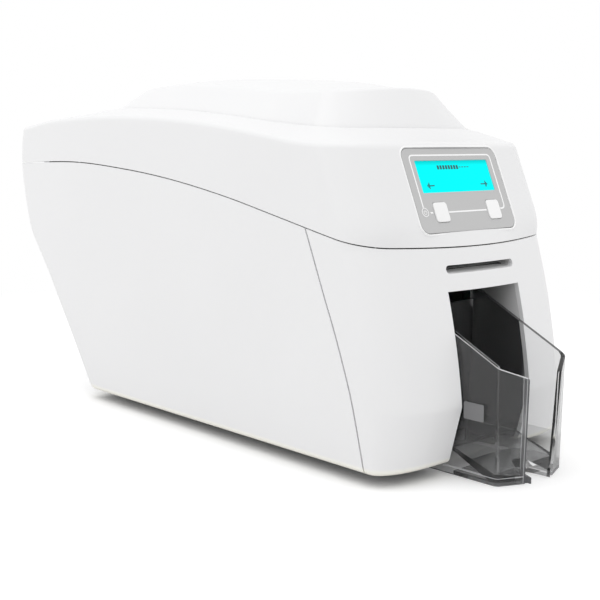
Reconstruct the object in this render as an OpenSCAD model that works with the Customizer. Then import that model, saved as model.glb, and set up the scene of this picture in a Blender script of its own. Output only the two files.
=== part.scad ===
// Desktop ID card printer: a long narrow casing with a lid hinged at the rear, a display
// on the sloping front, a hand-feed slot, and a clear card hopper standing in the front opening.
// Millimetres, +Z up, the front faces -Y. Shapes are drawn with Y measured from the nose of the
// front cover, and place() then moves the origin under the middle of the whole machine.

/* [Casing] */
// Width over the side covers
body_w = 166; // [154:1:200]
// Distance from the nose of the front to the rear wall
body_len = 414.5; // [380:0.5:500]
// Height of the casing's lower edge above the table
base_z = 7.4; // [6:0.1:10]
// Thickness of the casing's walls
wall = 2.5; // [1.6:0.1:3]
// Width of the gap along a parting line
seam = 0.7; // [0.4:0.1:1.2]
// Height at which the front bends back towards the table
bend_z = 41.7; // [34:0.1:50]
// Radius of the casing's front corners
front_corner_r = 25; // [18:1:30]
// Radius of the casing's rear corners
rear_corner_r = 14; // [10:1:20]
// Rounding along the lower edge of the casing
foot_round = 3; // [1:0.5:4]

/* [Top cover] */
// Width of the raised top cover where it meets the lid
hump_w = 132; // [120:1:140]
// How far the top cover's walls lean in on their way up
hump_lean = 15; // [8:1:20]
// Depth of the waist on each side of the top cover
hump_waist = 5; // [0:0.5:8]

/* [Front opening and slot] */
// Gap between the hopper and each side of the opening
hopper_play = 0.65; // [0.3:0.05:2]
// Height of the opening's top edge
opening_top = 105.4; // [95:0.1:108]
// Length of the hand-feed slot
slot_w = 60; // [58:0.5:64]
// Height of the hand-feed slot's clear gap
slot_h = 4.6; // [3:0.1:6]
// Height of the card path above the table
path_z = 117; // [116:0.1:118]

/* [Lid hinge] */
// Height of the hinge axis
hinge_z = 174; // [173:0.1:176]
// Radius of the hinge knuckles
knuckle_r = 4.5; // [4:0.1:6]
// Radius of the hinge pins
pin_r = 1.5; // [1:0.1:2]
// Distance of each hinge from the centre plane
hinge_x = 42; // [36:1:46]

/* [Display panel] */
// Width of the panel
panel_w = 84; // [78:0.5:90]
// Height of the panel along the slope
panel_h = 51.7; // [50:0.1:54]
// Thickness of the panel
panel_t = 2.4; // [1.8:0.1:3]
// Width of a button
button_w = 11.4; // [9:0.1:12]

/* [Hopper] */
// Width over the hopper's walls
hopper_w = 62; // [58:0.5:75]
// Thickness of the hopper's walls
hopper_wall = 2.5; // [2:0.1:3]

/* [Card transport] */
// Distance between the chassis plates' inner faces
chassis_w = 88; // [84:1:104]
// Thickness of the chassis plates
plate_t = 1.5; // [1:0.1:2]
// Radius of the rubber rollers
roller_r = 8; // [6.5:0.1:8]
// Length of the rubber on each roller
roller_len = 54; // [50:1:54]
// Radius of the roller shafts
shaft_r = 3; // [2.5:0.1:3.5]
// Radius of the idler rollers above the path
idler_r = 7; // [6:0.1:7.5]
// Radius of the motor's pulley
motor_pulley_r = 5; // [4:0.1:6]
// Radius of a full roll of film
film_r = 18; // [12:0.5:19]
// Radius of the take-up roll
takeup_r = 10; // [9:0.5:12]

/* [Hidden] */
$fn = 48;

plastic = "white";
black = "#1c1d20";
steel = "silver";
half_w = body_w / 2;
opening_w = hopper_w + 2 * hopper_play;
hinge_y = body_len + 1;
hopper_nose = -34.5;
origin_y = (hopper_nose + hinge_y + knuckle_r) / 2;

// The whole machine's origin is under its middle, on the table
module place() { translate([0, -origin_y, 0]) children(); }

function mix(a, b, t) = a + (b - a) * t;
function clamp(x, lo, hi) = min(max(x, lo), hi);

// Smooth curve through [position, value] knots: a cubic Hermite with chord slopes
function knot_slope(k, i) =
    let (a = max(i - 1, 0), b = min(i + 1, len(k) - 1)) (k[b][1] - k[a][1]) / (k[b][0] - k[a][0]);
function span_of(k, x, i = 0) = i >= len(k) - 2 || x < k[i + 1][0] ? i : span_of(k, x, i + 1);
function curve(k, x) =
    let (i = span_of(k, x), h = k[i + 1][0] - k[i][0], t = clamp((x - k[i][0]) / h, 0, 1))
    let (m0 = knot_slope(k, i) * h, m1 = knot_slope(k, i + 1) * h)
    let (rise = k[i + 1][1] - k[i][1])
    k[i][1] + t * (m0 + t * (3 * rise - 2 * m0 - m1 + t * (m0 + m1 - 2 * rise)));

// Positions along the machine are given as on the 414.5 mm casing and follow its length
stretch = body_len / 414.5;
function along(k) = [for (p = k) [p[0] * stretch, p[1]]];

// Height of the line where the lid meets the casing
lid_line = along([[17, 129.2], [54, 136.2], [97, 145.1], [147, 155.2], [204, 164.2], [258, 169.9],
    [324, 173.9], [405, 172.4]]);
// Height of the lid's upper edge along its sides
lid_edge = along([[42, 188.2], [80, 190], [107, 193.7], [158, 200.5], [215, 205.1], [279, 207.3],
    [354, 205.6], [398, 200.7]]);
// Height of the line where the top cover meets the lid
hump_line = along([[70, 196.3], [110, 199], [158, 204.4], [211, 209.1], [276, 211.9], [309, 212.3]]);
// Heights of the top cover along its side edge and along its middle
hump_side = along([[87, 217.6], [115, 217.8], [145, 220.2], [186, 224.2], [230, 226.4], [271, 225.6],
    [300, 221]]);
hump_mid = along([[87, 220.7], [119, 226], [160, 229], [210, 231.3], [255, 231.2], [300, 225]]);
// Position of the rear wall at each height
rear_line = [[9, 0.772], [38.4, 0.8227], [60.7, 0.8622], [88, 0.9093], [105.5, 0.944],
    [120.4, 0.972], [140, 0.9882], [165, 0.9995], [179, 1], [200, 0.9893], [210, 0.975]];
// Position of the parting line between front and side covers at each height
cheek_line = [[8.3, 25.8], [31.7, 31.8], [50.3, 37.1], [82.2, 49.2], [101, 57.5], [140.3, 74.2]];

function lid_z(y) = curve(lid_line, y);
function edge_z(y) = curve(lid_edge, y);
function hump_z(y) = curve(hump_line, y);
function rear_y(z) = curve(rear_line, z) * body_len;
function cheek_y(z) = curve(cheek_line, z);

// Front profile on the centre plane, and the radius of the front's bow seen from above
front_break = 129.2;
panel_slope = 0.4193;
function nose_y(z) = let (u = max(z, bend_z) - bend_z) z > front_break
    ? 17 + panel_slope * (z - front_break)
    : -1.9 + 0.1072 * u + 0.001224 * u * u;
function bow_r(z) = mix(259, 900, clamp((z - front_break) / 20, 0, 1));

// Foot of the front: nearly straight, with drawn-out corners, set back under the bend
foot_y = 9.1;
foot_corner = [33, 14];
function foot_at(x, d) =
    let (t = clamp((abs(x) - half_w + foot_corner[0]) / (foot_corner[0] - d), 0, 1))
    foot_y + d + (foot_corner[1] - d) * (1 - sqrt(1 - t * t));

// Outline of the casing at height z, pulled in by d. Each u names the same place at every
// height: 0 to 1 across half the front, 1 to 2 round its corner, 2 to 3 along the side,
// 3 to 4 round the rear corner and 4 to 5 across half the rear. A negative u is the left half.
function front_point(x, z, d) =
    let (r = bow_r(z) - d) [x, nose_y(z) + d + r - sqrt(r * r - x * x)];
function corner_tilt(z) = asin((half_w - front_corner_r) / (bow_r(z) - front_corner_r));
function corner_point(t, z, d) =
    let (big = bow_r(z), a0 = corner_tilt(z), a = mix(a0, 90, t), r = front_corner_r - d)
    [half_w - front_corner_r + r * sin(a),
        nose_y(z) + big - (big - front_corner_r) * cos(a0) - r * cos(a)];
function corner_end(z) = z >= bend_z ? corner_point(1, z, 0)[1]
    : mix(corner_point(1, bend_z, 0)[1], foot_y + foot_corner[1], (bend_z - z) / (bend_z - base_z));
function rear_corner_y(z) = rear_y(z) - rear_corner_r;
function under_bend(p, z, d) = z >= bend_z ? p
    : [p[0], mix(p[1], foot_at(p[0], d), (bend_z - z) / (bend_z - base_z))];
function right_point(u, z, d) =
    u <= 1 ? under_bend(front_point(u * (bow_r(z) - d) * sin(corner_tilt(z)), z, d), z, d) :
    u <= 2 ? under_bend(corner_point(u - 1, z, d), z, d) :
    u <= 3 ? [half_w - d, mix(corner_end(z), rear_corner_y(z), u - 2)] :
    u <= 4 ? let (a = (u - 3) * 90, r = rear_corner_r - d)
        [half_w - rear_corner_r + r * cos(a), rear_corner_y(z) + r * sin(a)] :
    [(half_w - rear_corner_r) * (5 - u), rear_y(z) - d];
function outline(u, z, d) = let (p = right_point(abs(u), z, d)) [u < 0 ? -p[0] : p[0], p[1], z];
// The same at an exact x on the front, for edges that run straight up
function outline_at(x, z, d) =
    let (p = under_bend(front_point(x, z, d), z, d)) [p[0], p[1], z];

// Closed solid between an outer and an inner grid of points, given as rows of columns.
// With ring true the last column joins the first, and tips close its last row to a point.
// The cells in gap_cols of the first gap_rows rows are left out.
module skin(outer, inner, ring = false, tips = [], gap_cols = [1, 0], gap_rows = 0) {
    rows = len(outer);
    cols = len(outer[0]);
    n = rows * cols;
    tip = 2 * n;
    last = ring ? cols - 1 : cols - 2;
    function id(i, j) = i * cols + j % cols;
    function open(i, j) = i < 0 || i > rows - 2 || (!ring && (j < 0 || j > cols - 2))
        || (i < gap_rows && j >= gap_cols[0] && j < gap_cols[1]);
    function quad(a, b, c, d) = [[a, b, c], [a, c, d]];
    walls = [for (i = [0:rows - 2], j = [0:last]) if (!open(i, j))
        let (a = id(i, j), b = id(i, j + 1), e = id(i + 1, j + 1), f = id(i + 1, j))
        each concat(
            quad(a, f, e, b),
            quad(n + a, n + b, n + e, n + f),
            open(i - 1, j) ? quad(a, b, n + b, n + a) : [],
            open(i + 1, j) && !(tips && i == rows - 2) ? quad(f, n + f, n + e, e) : [],
            open(i, j - 1) ? quad(a, n + a, n + f, f) : [],
            open(i, j + 1) ? quad(b, e, n + e, n + b) : [])];
    fans = [for (j = [0:last]) if (tips) let (a = id(rows - 1, j), b = id(rows - 1, j + 1))
        each [[a, tip, b], [n + a, n + b, tip + 1]]];
    points = concat([for (r = outer) each r], [for (r = inner) each r], tips);
    polyhedron(points, concat(walls, fans), 4);
}

function steps(a, b, n) = [for (i = [0:n]) mix(a, b, i / n)];
function fixed_line(f, x, n = 3) = n == 0 ? x : fixed_line(f, f(x), n - 1);

// Bars and plates between two x positions, drawn by their outline in Y and Z
module across(x0, x1) {
    translate([x0, 0, 0]) rotate([90, 0, 90]) linear_extrude(x1 - x0) children();
}
// A round bar along X at [y, z]
module bar(at, r, x0, x1) {
    translate([x0, at[0], at[1]]) rotate([0, 90, 0]) cylinder(r = r, h = x1 - x0);
}
module tube(at, r, bore, x0, x1) {
    difference() {
        bar(at, r, x0, x1);
        bar(at, bore, x0 - 1, x1 + 1);
    }
}
module block(lo, hi) { translate(lo) cube(hi - lo); }

// Casing

rear_panel_half = half_w - rear_corner_r - 7;
foot_rows = [for (a = [0, 45, 90]) [base_z + foot_round * (1 - cos(a)), foot_round * (1 - sin(a))]];
// How far the lower edge's rounding pulls the casing in at a height between its last two rows
function foot_inset(z) = mix(foot_rows[1][1], 0, (z - foot_rows[1][0]) / (foot_rows[2][0] - foot_rows[1][0]));

// Columns of the front cover: c from -4 to 4 runs from one parting line round the front to the
// other, with the edges of the opening at -1 and 1
function front_column(c, z, d) =
    let (m = abs(c), edge_x = opening_w / 2, start_x = (bow_r(z) - d) * sin(corner_tilt(z)))
    let (p = m <= 1 ? outline_at(m * edge_x, z, d) :
        m <= 2 ? outline_at(mix(edge_x, start_x, m - 1), z, d) :
        m <= 3 ? concat(under_bend(corner_point(m - 2, z, d), z, d), z) :
        [half_w - d, mix(corner_end(z), cheek_y(z) - seam / 2, m - 3), z])
    [c < 0 ? -p[0] : p[0], p[1], z];
function front_top(c) =
    fixed_line(function(z) lid_z(front_column(c, z, 0)[1]) - seam / 2, front_break);

module front_cover() {
    half = concat(steps(0, 1, 2), [1.5], steps(2, 3, 6), [3.5, 4]);
    columns = concat([for (i = [len(half) - 1:-1:1]) -half[i]], half);
    low = concat(foot_rows, [for (z = [bend_z, 62, 84, opening_top]) [z, 0]]);
    function grid(extra) = concat(
        [for (r = low) [for (c = columns) front_column(c, r[0], r[1] + extra)]],
        [for (t = [1 / 3, 2 / 3, 1]) [for (c = columns)
            front_column(c, mix(opening_top, front_top(c), t), extra)]]);
    color(plastic) difference() {
        skin(grid(0), grid(wall), gap_cols = [len(half) - 3, len(half) + 1], gap_rows = len(low) - 1);
        slot_cut();
    }
}

// The hand-feed slot with its rounded ends, and the scoop below it
slot_z = path_z + 0.3;
module slot_shape(h) {
    square([slot_w - h, h], center = true);
    for (x = [-1, 1] * (slot_w - h) / 2) translate([x, 0]) circle(h / 2);
}
module slot_cut() {
    translate([0, 30, slot_z]) rotate([90, 0, 0]) linear_extrude(40) slot_shape(slot_h);
    translate([0, 18, slot_z - 0.6]) rotate([65, 0, 0]) linear_extrude(30) slot_shape(slot_h);
}

function side_column(c, z, d) =
    c <= 1 ? [half_w - d, mix(cheek_y(z) + seam / 2, rear_corner_y(z), c), z] :
    c <= 2 ? let (a = (c - 1) * 90, r = rear_corner_r - d)
        [half_w - rear_corner_r + r * cos(a), rear_corner_y(z) + r * sin(a), z] :
    [mix(half_w - rear_corner_r, rear_panel_half + seam / 2, c - 2), rear_y(z) - d, z];
function side_top(c) =
    fixed_line(function(z) lid_z(side_column(c, z, 0)[1]) - seam / 2, front_break + 20, 6);

module side_cover() {
    columns = concat(steps(0, 1, 12), [1.25, 1.5, 1.75, 2, 3]);
    function grid(extra) = concat(
        [for (r = foot_rows) [for (c = columns) side_column(c, r[0], r[1] + extra)]],
        [for (z = [bend_z, 66, 92, 112]) [for (c = columns) side_column(c, z, extra)]],
        [for (t = [1 / 3, 2 / 3, 1]) [for (c = columns)
            side_column(c, mix(112, side_top(c), t), extra)]]);
    skin(grid(0), grid(wall));
}
module right_side_cover() { color(plastic) side_cover(); }
module left_side_cover() { color(plastic) mirror([1, 0, 0]) side_cover(); }

// Rear panel between the side covers, with openings for the sockets and cooling slots
panel_floor_z = base_z + 1;
function rear_profile(d) = [for (z = concat(panel_floor_z, 16, 38, 60, 88, 105, 120, 140, 165))
    [rear_y(z) - d, z]];
rear_top_z = lid_z(body_len) - seam / 2;
socket_z = 136;
socket_y = rear_y(socket_z);
inlet = [-40, 27.4, 20];
rocker = [-14, 13.2, 19.2];
usb = [8, 12.4, 11.2];
network = [30, 16.4, 13.8];

module rear_panel() {
    outer = concat(rear_profile(0), [[rear_y(rear_top_z), rear_top_z]]);
    inner = concat(rear_profile(wall), [[rear_y(rear_top_z) - wall, rear_top_z]]);
    turned = [for (i = [len(inner) - 1:-1:0]) inner[i]];
    color(plastic) difference() {
        across(-rear_panel_half, rear_panel_half) polygon(concat(outer, turned));
        for (s = [inlet, rocker, usb, network])
            block([s[0] - s[1] / 2, socket_y - 20, socket_z - s[2] / 2],
                [s[0] + s[1] / 2, socket_y + 20, socket_z + s[2] / 2]);
        hinge_notches();
        for (x = [-49:14:49]) block([x - 4.5, 330, 62], [x + 4.5, 400, 66]);
        for (x = [-49:14:49]) block([x - 4.5, 330, 74], [x + 4.5, 410, 78]);
    }
}

// Tray that closes the casing below, open at the front where the hopper stands
tray_z = base_z + 1;
tray_t = 2.5;
tray_half = half_w - wall - foot_inset(tray_z);
tray_front = 21;
tray_rear = rear_y(base_z) - foot_round - wall - 0.8;
liner_half = opening_w / 2;
liner_t = 2;
liner_rear = 45.5;
foot_r = 9;
foot_places = [for (x = [-1, 1], y = [52, tray_rear - 24]) [x * (half_w - 28), y]];

module base_tray() {
    notch = liner_half + liner_t;
    side_y = tray_front + 12;
    tab_y = outline_at(52, tray_z, wall + foot_inset(tray_z))[1];
    rear_tab = rear_y(panel_floor_z) - wall;
    color(plastic) difference() {
        union() {
            translate([0, 0, tray_z]) linear_extrude(tray_t) polygon([
                [-tray_half + 16, tray_front], [tray_half - 16, tray_front], [tray_half, side_y],
                [tray_half, tray_rear - 9], [tray_half - 9, tray_rear],
                [-tray_half + 9, tray_rear], [-tray_half, tray_rear - 9], [-tray_half, side_y]]);
            for (x = [-52, 44]) block([x, tab_y, tray_z], [x + 8, tray_front + 1, tray_z + tray_t]);
            block([-40, tray_rear - 1, tray_z], [40, rear_tab, tray_z + tray_t]);
            for (x = [-74, 72]) block([x, 40, tray_z], [x + 2, tray_rear - 12, 22]);
        }
        block([-notch, 0, 0], [notch, liner_rear + 2, 40]);
    }
}

module rubber_feet() {
    color("#2b2b2d") for (p = foot_places)
        translate([p[0], p[1], 0]) cylinder(r = foot_r, h = tray_z);
}

// White walls of the hopper's chute behind the opening, and its black back
module chute_liner() {
    out = liner_half + liner_t;
    front = [for (r = [[tray_z, foot_inset(tray_z)], [foot_rows[2][0], 0], [bend_z, 0], [62, 0], [84, 0],
        [opening_top, 0]]) [outline_at(out, r[0], r[1] + wall)[1] + 0.04, r[0]]];
    color(plastic) for (x = [-out, liner_half]) across(x, x + liner_t)
        polygon(concat(front, [[liner_rear, opening_top], [liner_rear, tray_z]]));
}
module chute_back() {
    color(black) block([-liner_half - liner_t, liner_rear, tray_z],
        [liner_half + liner_t, liner_rear + 2, 92]);
}

// Clear hopper: two walls with turned-in lips, a back, and a floor that falls to the front
hopper_half = hopper_w / 2;
hopper_rear = liner_rear;
hopper_back_z = 92.5;
crease = -24;
lip_ends = [[-16.5, -34.3], [13, -33.2]];
wall_top = [[hopper_rear, 102], [crease, 67.5]];
function unit(v) = v / norm(v);
// Plan of one side of the hopper: wall, crease and lip. s is -1 or 1
module hopper_side(s, tip) {
    a = [s * hopper_half, crease];
    along_lip = unit(tip - a);
    inward = -s * [-along_lip[1], along_lip[0]];
    polygon([[s * hopper_half, hopper_rear], a, tip, tip + inward * hopper_wall,
        [s * (hopper_half - hopper_wall), crease + hopper_wall * 1.4], [s * (hopper_half - hopper_wall), hopper_rear]]);
}
module card_hopper() {
    inner = hopper_half - hopper_wall;
    color([0.35, 0.36, 0.38, 0.6]) {
        intersection() {
            translate([0, 0, 1]) linear_extrude(110) {
                hopper_side(-1, lip_ends[0]);
                hopper_side(1, lip_ends[1]);
            }
            across(-40, 40) polygon([[hopper_rear, 0], wall_top[0], wall_top[1] + [1, 1],
                [lip_ends[0][1] - 2, 61.5], [lip_ends[0][1] - 2, 0]]);
        }
        block([-inner - 0.1, hopper_rear - hopper_wall, 14], [inner + 0.1, hopper_rear, hopper_back_z]);
        intersection() {
            across(-inner - 0.1, inner + 0.1)
                polygon([[hopper_rear, 17], [8, 17], [crease + 4, 7.6], [crease - 8, 4.5], [crease - 8, 1],
                    [crease + 4, 1], [8, 1], [8, 3], [crease + 6, 3.2], [8, 14.5], [hopper_rear, 14.5]]);
            linear_extrude(40) polygon([[-inner - 0.1, hopper_rear], [-inner - 0.1, crease], [lip_ends[0][0], lip_ends[0][1] + 2.2],
                [lip_ends[0][0] + 2, -20], [-8, -14], [0, -14], [lip_ends[1][0] - 6, -19],
                [lip_ends[1][0], lip_ends[1][1] + 2.2], [inner + 0.1, crease], [inner + 0.1, hopper_rear]]);
        }
    }
}
module hopper_label() {
    color("#b9bbbd") translate([-hopper_half - 0.3, -14.4, 35.5]) cube([0.3, 14, 9.8]);
}

// Lid

hump_front = 56;
hump_rear = 310;
hump_corners = [11, 30];
hump_bow = 23;
top_z0 = 1.6;
// Ring round the top cover, leaning in by d, at the same u as the casing's outline
function hump_ring(u, d) =
    let (m = abs(u), a = hump_w / 2 - d, rf = hump_corners[0] - 0.4 * d, rr = hump_corners[1] - 0.4 * d)
    let (y0 = hump_front + 1.1 * d, y1 = hump_rear * stretch - 1.2 * d)
    let (g2 = clamp(m - 1, 0, 1) * 90, x2 = min(m, 1) * (a - rf) + rf * sin(g2))
    let (p = m <= 2 ? [x2, y0 + rf - rf * cos(g2) + hump_bow * pow(x2 / a, 2)] :
        m <= 3 ? [a, mix(y0 + rf + hump_bow, y1 - rr, m - 2)] :
        m <= 4 ? let (g = (m - 3) * 90) [a - rr + rr * cos(g), y1 - rr + rr * sin(g)] :
        [(5 - m) * (a - rr), y1])
    let (waist = hump_waist * pow(cos(clamp((p[1] / stretch - 106) / 30, -1, 1) * 90), 2) * pow(p[0] / a, 2))
    [sign(u) * (p[0] - waist), p[1]];
function hump_top(x, y) =
    let (e = curve(hump_side, y), m = curve(hump_mid, y), s = x / (hump_w / 2 - hump_lean))
    e + (m - e) * (1 - s * s);

lid_round = 4;
function lid_foot(u) =
    fixed_line(function(z) lid_z(outline(u, z, 0)[1]) + seam / 2, front_break + 20, 6);
function lid_brow(u) =
    fixed_line(function(z) edge_z(outline(u, z, 0)[1]) - lid_round, 185, 4);
// Columns of the lid and the top cover, closer together beside the waist
right_us = concat([1], [for (i = [1:5]) 1 + i / 6],
    [2, 2.03, 2.07, 2.11, 2.15, 2.2, 2.27, 2.4, 2.55, 2.7, 2.85, 3, 3.25, 3.5, 3.75, 4, 4.5]);
lid_us = concat([for (i = [len(right_us) - 1:-1:0]) -right_us[i]], [-0.7, -0.35, 0, 0.35, 0.7], right_us, [5]);

function brow_point(u, a, r) = outline(u, lid_brow(u) + r * sin(a), lid_round - r * cos(a));
function shoulder(u, t) =
    let (p = brow_point(u, 90, lid_round), s = hump_ring(u, 0), z = hump_z(s[1]))
    [mix(p[0], s[0], t), mix(p[1], s[1], t), mix(p[2], z, t) + 1.2 * t * (1 - t)];
function lip(u, d, drop) = let (s = hump_ring(u, d)) [s[0], s[1], hump_z(s[1]) - drop];

module lid_cover() {
    outer = concat(
        [for (t = [0, 0.5, 1]) [for (u = lid_us) outline(u, mix(lid_foot(u), lid_brow(u), t), 0)]],
        [for (a = [35, 90]) [for (u = lid_us) brow_point(u, a, lid_round)]],
        [for (t = [0.5, 1]) [for (u = lid_us) shoulder(u, t)]],
        [[for (u = lid_us) lip(u, 0.1, top_z0)], [for (u = lid_us) lip(u, 4.5, top_z0)]]);
    inner = concat(
        [for (t = [0, 0.5, 1]) [for (u = lid_us) outline(u, mix(lid_foot(u), lid_brow(u), t), wall)]],
        [for (a = [35, 90]) [for (u = lid_us) brow_point(u, a, lid_round - wall)]],
        [for (t = [0.5, 1]) [for (u = lid_us) shoulder(u, t) - [0, 0, wall + top_z0 * t * t]]],
        [[for (u = lid_us) lip(u, 0.4, wall + top_z0)], [for (u = lid_us) lip(u, 4.5, wall + top_z0)]]);
    color(plastic) difference() {
        skin(outer, inner, ring = true);
        on_panel() translate([0, 0, -30]) linear_extrude(60) panel_shape(0);
        hinge_notches();
    }
}

module top_cover() {
    round_r = 2.5;
    function wall_at(u, t) =
        let (p = hump_ring(u, hump_lean * t), b = hump_z(p[1]) - top_z0 + 0.3)
        [p[0], p[1], mix(b, hump_top(p[0], p[1]) - round_r, t)];
    function roof(u, s) =
        let (p = hump_ring(u, hump_lean + round_r), x = p[0] * s, y = mix(190 * stretch, p[1], s))
        [x, y, hump_top(x, y)];
    function brim(u) = let (p = hump_ring(u, hump_lean + 0.7)) [p[0], p[1], hump_top(p[0], p[1]) - 0.7];
    // The foot stands on the lid's ledge, half a millimetre inside its edge
    outer = concat(
        [[for (u = lid_us) lip(u, 0.5, top_z0 - 0.01)], [for (u = lid_us) lip(u, 0.6, 0.2)]],
        [for (t = [0.5, 1]) [for (u = lid_us) wall_at(u, t)]],
        [[for (u = lid_us) brim(u)]],
        [for (s = [1, 0.7, 0.35]) [for (u = lid_us) roof(u, s)]]);
    function inward(p, k) = [p[0] * (1 - k / 60), mix(p[1], 190 * stretch, k / 110), p[2]];
    inner = concat(
        [[for (u = lid_us) lip(u, 3.5, top_z0 - 0.01)], [for (u = lid_us) lip(u, 3.7, -0.4)]],
        [for (t = [0.5, 1]) [for (u = lid_us) inward(wall_at(u, t), wall) - [0, 0, t == 1 ? 1 : 0]]],
        [[for (u = lid_us) inward(brim(u), wall) - [0, 0, wall * 0.8]]],
        [for (s = [1, 0.7, 0.35]) [for (u = lid_us) inward(roof(u, s), wall) - [0, 0, wall]]]);
    mid = [0, 190 * stretch, hump_top(0, 190 * stretch)];
    color(plastic) skin(outer, inner, ring = true, tips = [mid, mid - [0, 0, wall]]);
}

// Display panel, in a frame whose X runs across, whose Y runs up the slope and whose Z points out
panel_foot = 137.3;
module on_panel() {
    tilt = atan(1 / panel_slope);
    translate([0, nose_y(panel_foot) + 1, panel_foot]) rotate([tilt, 0, 0]) children();
}
module panel_shape(grow) {
    round_rect([panel_w + 2 * grow, panel_h + 2 * grow], 6, [0, panel_h / 2]);
}
module round_rect(size, r, at) {
    for (x = [-1, 1], y = [-1, 1]) translate(at + [x * (size[0] / 2 - r), y * (size[1] / 2 - r)]) circle(r);
    translate(at) square(size - [2 * r, 0], center = true);
    translate(at) square(size - [0, 2 * r], center = true);
}

screen_at = [0, 34.1];
screen_size = [64, 19.2];
button_h = button_w + 0.4;
button_at = [[-22, 12.4], [25, 12.3]];
screen_t = 4.2;
button_fit = 0.25;
button_proud = 0.9;
board_back = 9.6;
board_t = 1.6;

module display_panel() {
    color("#c3c3c3") on_panel() difference() {
        translate([0, 0, -panel_t]) linear_extrude(panel_t) panel_shape(0);
        translate([0, 0, -5]) linear_extrude(10) {
            translate(screen_at) square(screen_size, center = true);
            for (b = button_at) round_rect([button_w, button_h] + 2 * button_fit * [1, 1], 2.2, b);
        }
    }
}
module display_screen() {
    fit = 0.1;
    color("cyan") on_panel() {
        translate([screen_at[0], screen_at[1], -(panel_t + 0.4) / 2 - 0.4])
            cube([screen_size[0] - 2 * fit, screen_size[1] - 2 * fit, panel_t + 0.4], center = true);
        translate([screen_at[0], screen_at[1], -panel_t - screen_t / 2])
            cube([screen_size[0] + 5, screen_size[1] + 5, screen_t], center = true);
    }
}
module button(at) {
    color("#f4f4f4") on_panel() {
        translate([0, 0, -panel_t]) linear_extrude(panel_t + button_proud) round_rect([button_w, button_h], 2, at);
        translate([0, 0, -panel_t - 0.8]) linear_extrude(0.8) round_rect([button_w + 2, button_h + 2], 2.5, at);
        translate([at[0], at[1], -6.2]) cylinder(r = 2, h = 4);
    }
}
module left_button() { button(button_at[0]); }
module right_button() { button(button_at[1]); }
module panel_board() {
    top = -board_back + board_t;
    color("#1f6b3a") on_panel() {
        translate([-41, 3, -board_back]) cube([82, panel_h - 6, board_t]);
        for (x = [-39.5, 39.5], y = [8, panel_h - 8])
            translate([x, y, top]) cylinder(r = 1.8, h = -panel_t - top);
        for (b = button_at) translate([b[0] - 3, b[1] - 3, top]) cube([6, 6, 0.8]);
        translate([-20, screen_at[1] - 6, top]) cube([40, 12, -panel_t - screen_t - top]);
    }
}

// Frame under the lid that carries the print head
frame_z = 183;
frame_t = 2;
frame_half = half_w - wall;
frame_y = [72, 236];
module lid_frame() {
    color("#d8d8d8") {
        difference() {
            block([-frame_half, frame_y[0], frame_z], [frame_half, frame_y[1], frame_z + frame_t]);
            block([-60, frame_y[0] + 8, 0], [60, head_y - 14, 300]);
            block([-60, head_y + 14, 0], [60, frame_y[1] - 8, 300]);
        }
    }
}

// Lid hinge: outside the rear wall, two knuckles on the lid either side of one on the casing
knuckle_w = 12;
knuckle_gap = 0.3;
ear_w = 7;
leaf_t = 1.5;
leaf_y = body_len + 0.2;
hinge_at = [hinge_y, hinge_z];
module hinge_notches() {
    reach = knuckle_w / 2 + knuckle_gap + ear_w + 0.8;
    for (x = [-hinge_x, hinge_x]) block([x - reach, hinge_y - knuckle_r - 0.8, hinge_z - knuckle_r - 1],
        [x + reach, hinge_y + knuckle_r + 2, hinge_z + knuckle_r + 1]);
}
// Rear face of the casing, and of the lid, straight between the rows they are drawn from
function between_rows(rows, z, i = 0) = i >= len(rows) - 2 || z <= rows[i + 1][1]
    ? mix(rows[i][0], rows[i + 1][0], (z - rows[i][1]) / (rows[i + 1][1] - rows[i][1]))
    : between_rows(rows, z, i + 1);
casing_rows = [for (z = [140, 165, rear_top_z]) [rear_y(z), z]];
lid_rows = [for (t = [0, 0.5, 1]) let (z = mix(lid_foot(4.5), lid_brow(4.5), t)) [rear_y(z), z]];
module leaf(rows, zs) {
    polygon(concat([for (z = zs) [between_rows(rows, z), z]],
        [[leaf_y + leaf_t, zs[len(zs) - 1]], [leaf_y + leaf_t, zs[0]]]));
}
module hinge_brackets() {
    color(steel) for (x = [-hinge_x, hinge_x]) difference() {
        union() {
            bar(hinge_at, knuckle_r, x - knuckle_w / 2, x + knuckle_w / 2);
            block([x - knuckle_w / 2, leaf_y, hinge_z - 10], [x + knuckle_w / 2, leaf_y + leaf_t, hinge_z]);
            across(x - 13, x + 13) leaf(casing_rows, [hinge_z - 22, 165, hinge_z - 7]);
        }
        bar(hinge_at, pin_r, x - 20, x + 20);
    }
}
module hinge_leaves() {
    color(steel) for (x = [-hinge_x, hinge_x]) difference() {
        union() {
            for (s = [-1, 1]) {
                near = x + s * (knuckle_w / 2 + knuckle_gap);
                far = near + s * ear_w;
                bar(hinge_at, knuckle_r, min(near, far), max(near, far));
                block([min(near, far), leaf_y, hinge_z], [max(near, far), leaf_y + leaf_t, hinge_z + 10]);
            }
            across(x - 13, x + 13) leaf(lid_rows, [hinge_z + 7, lid_rows[1][1], hinge_z + 19]);
        }
        bar(hinge_at, pin_r + 0.03, x - 20, x + 20);
    }
}
module hinge_pins() {
    color(steel) for (x = [-hinge_x, hinge_x]) bar(hinge_at, pin_r, x - 14, x + 14);
}

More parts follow.
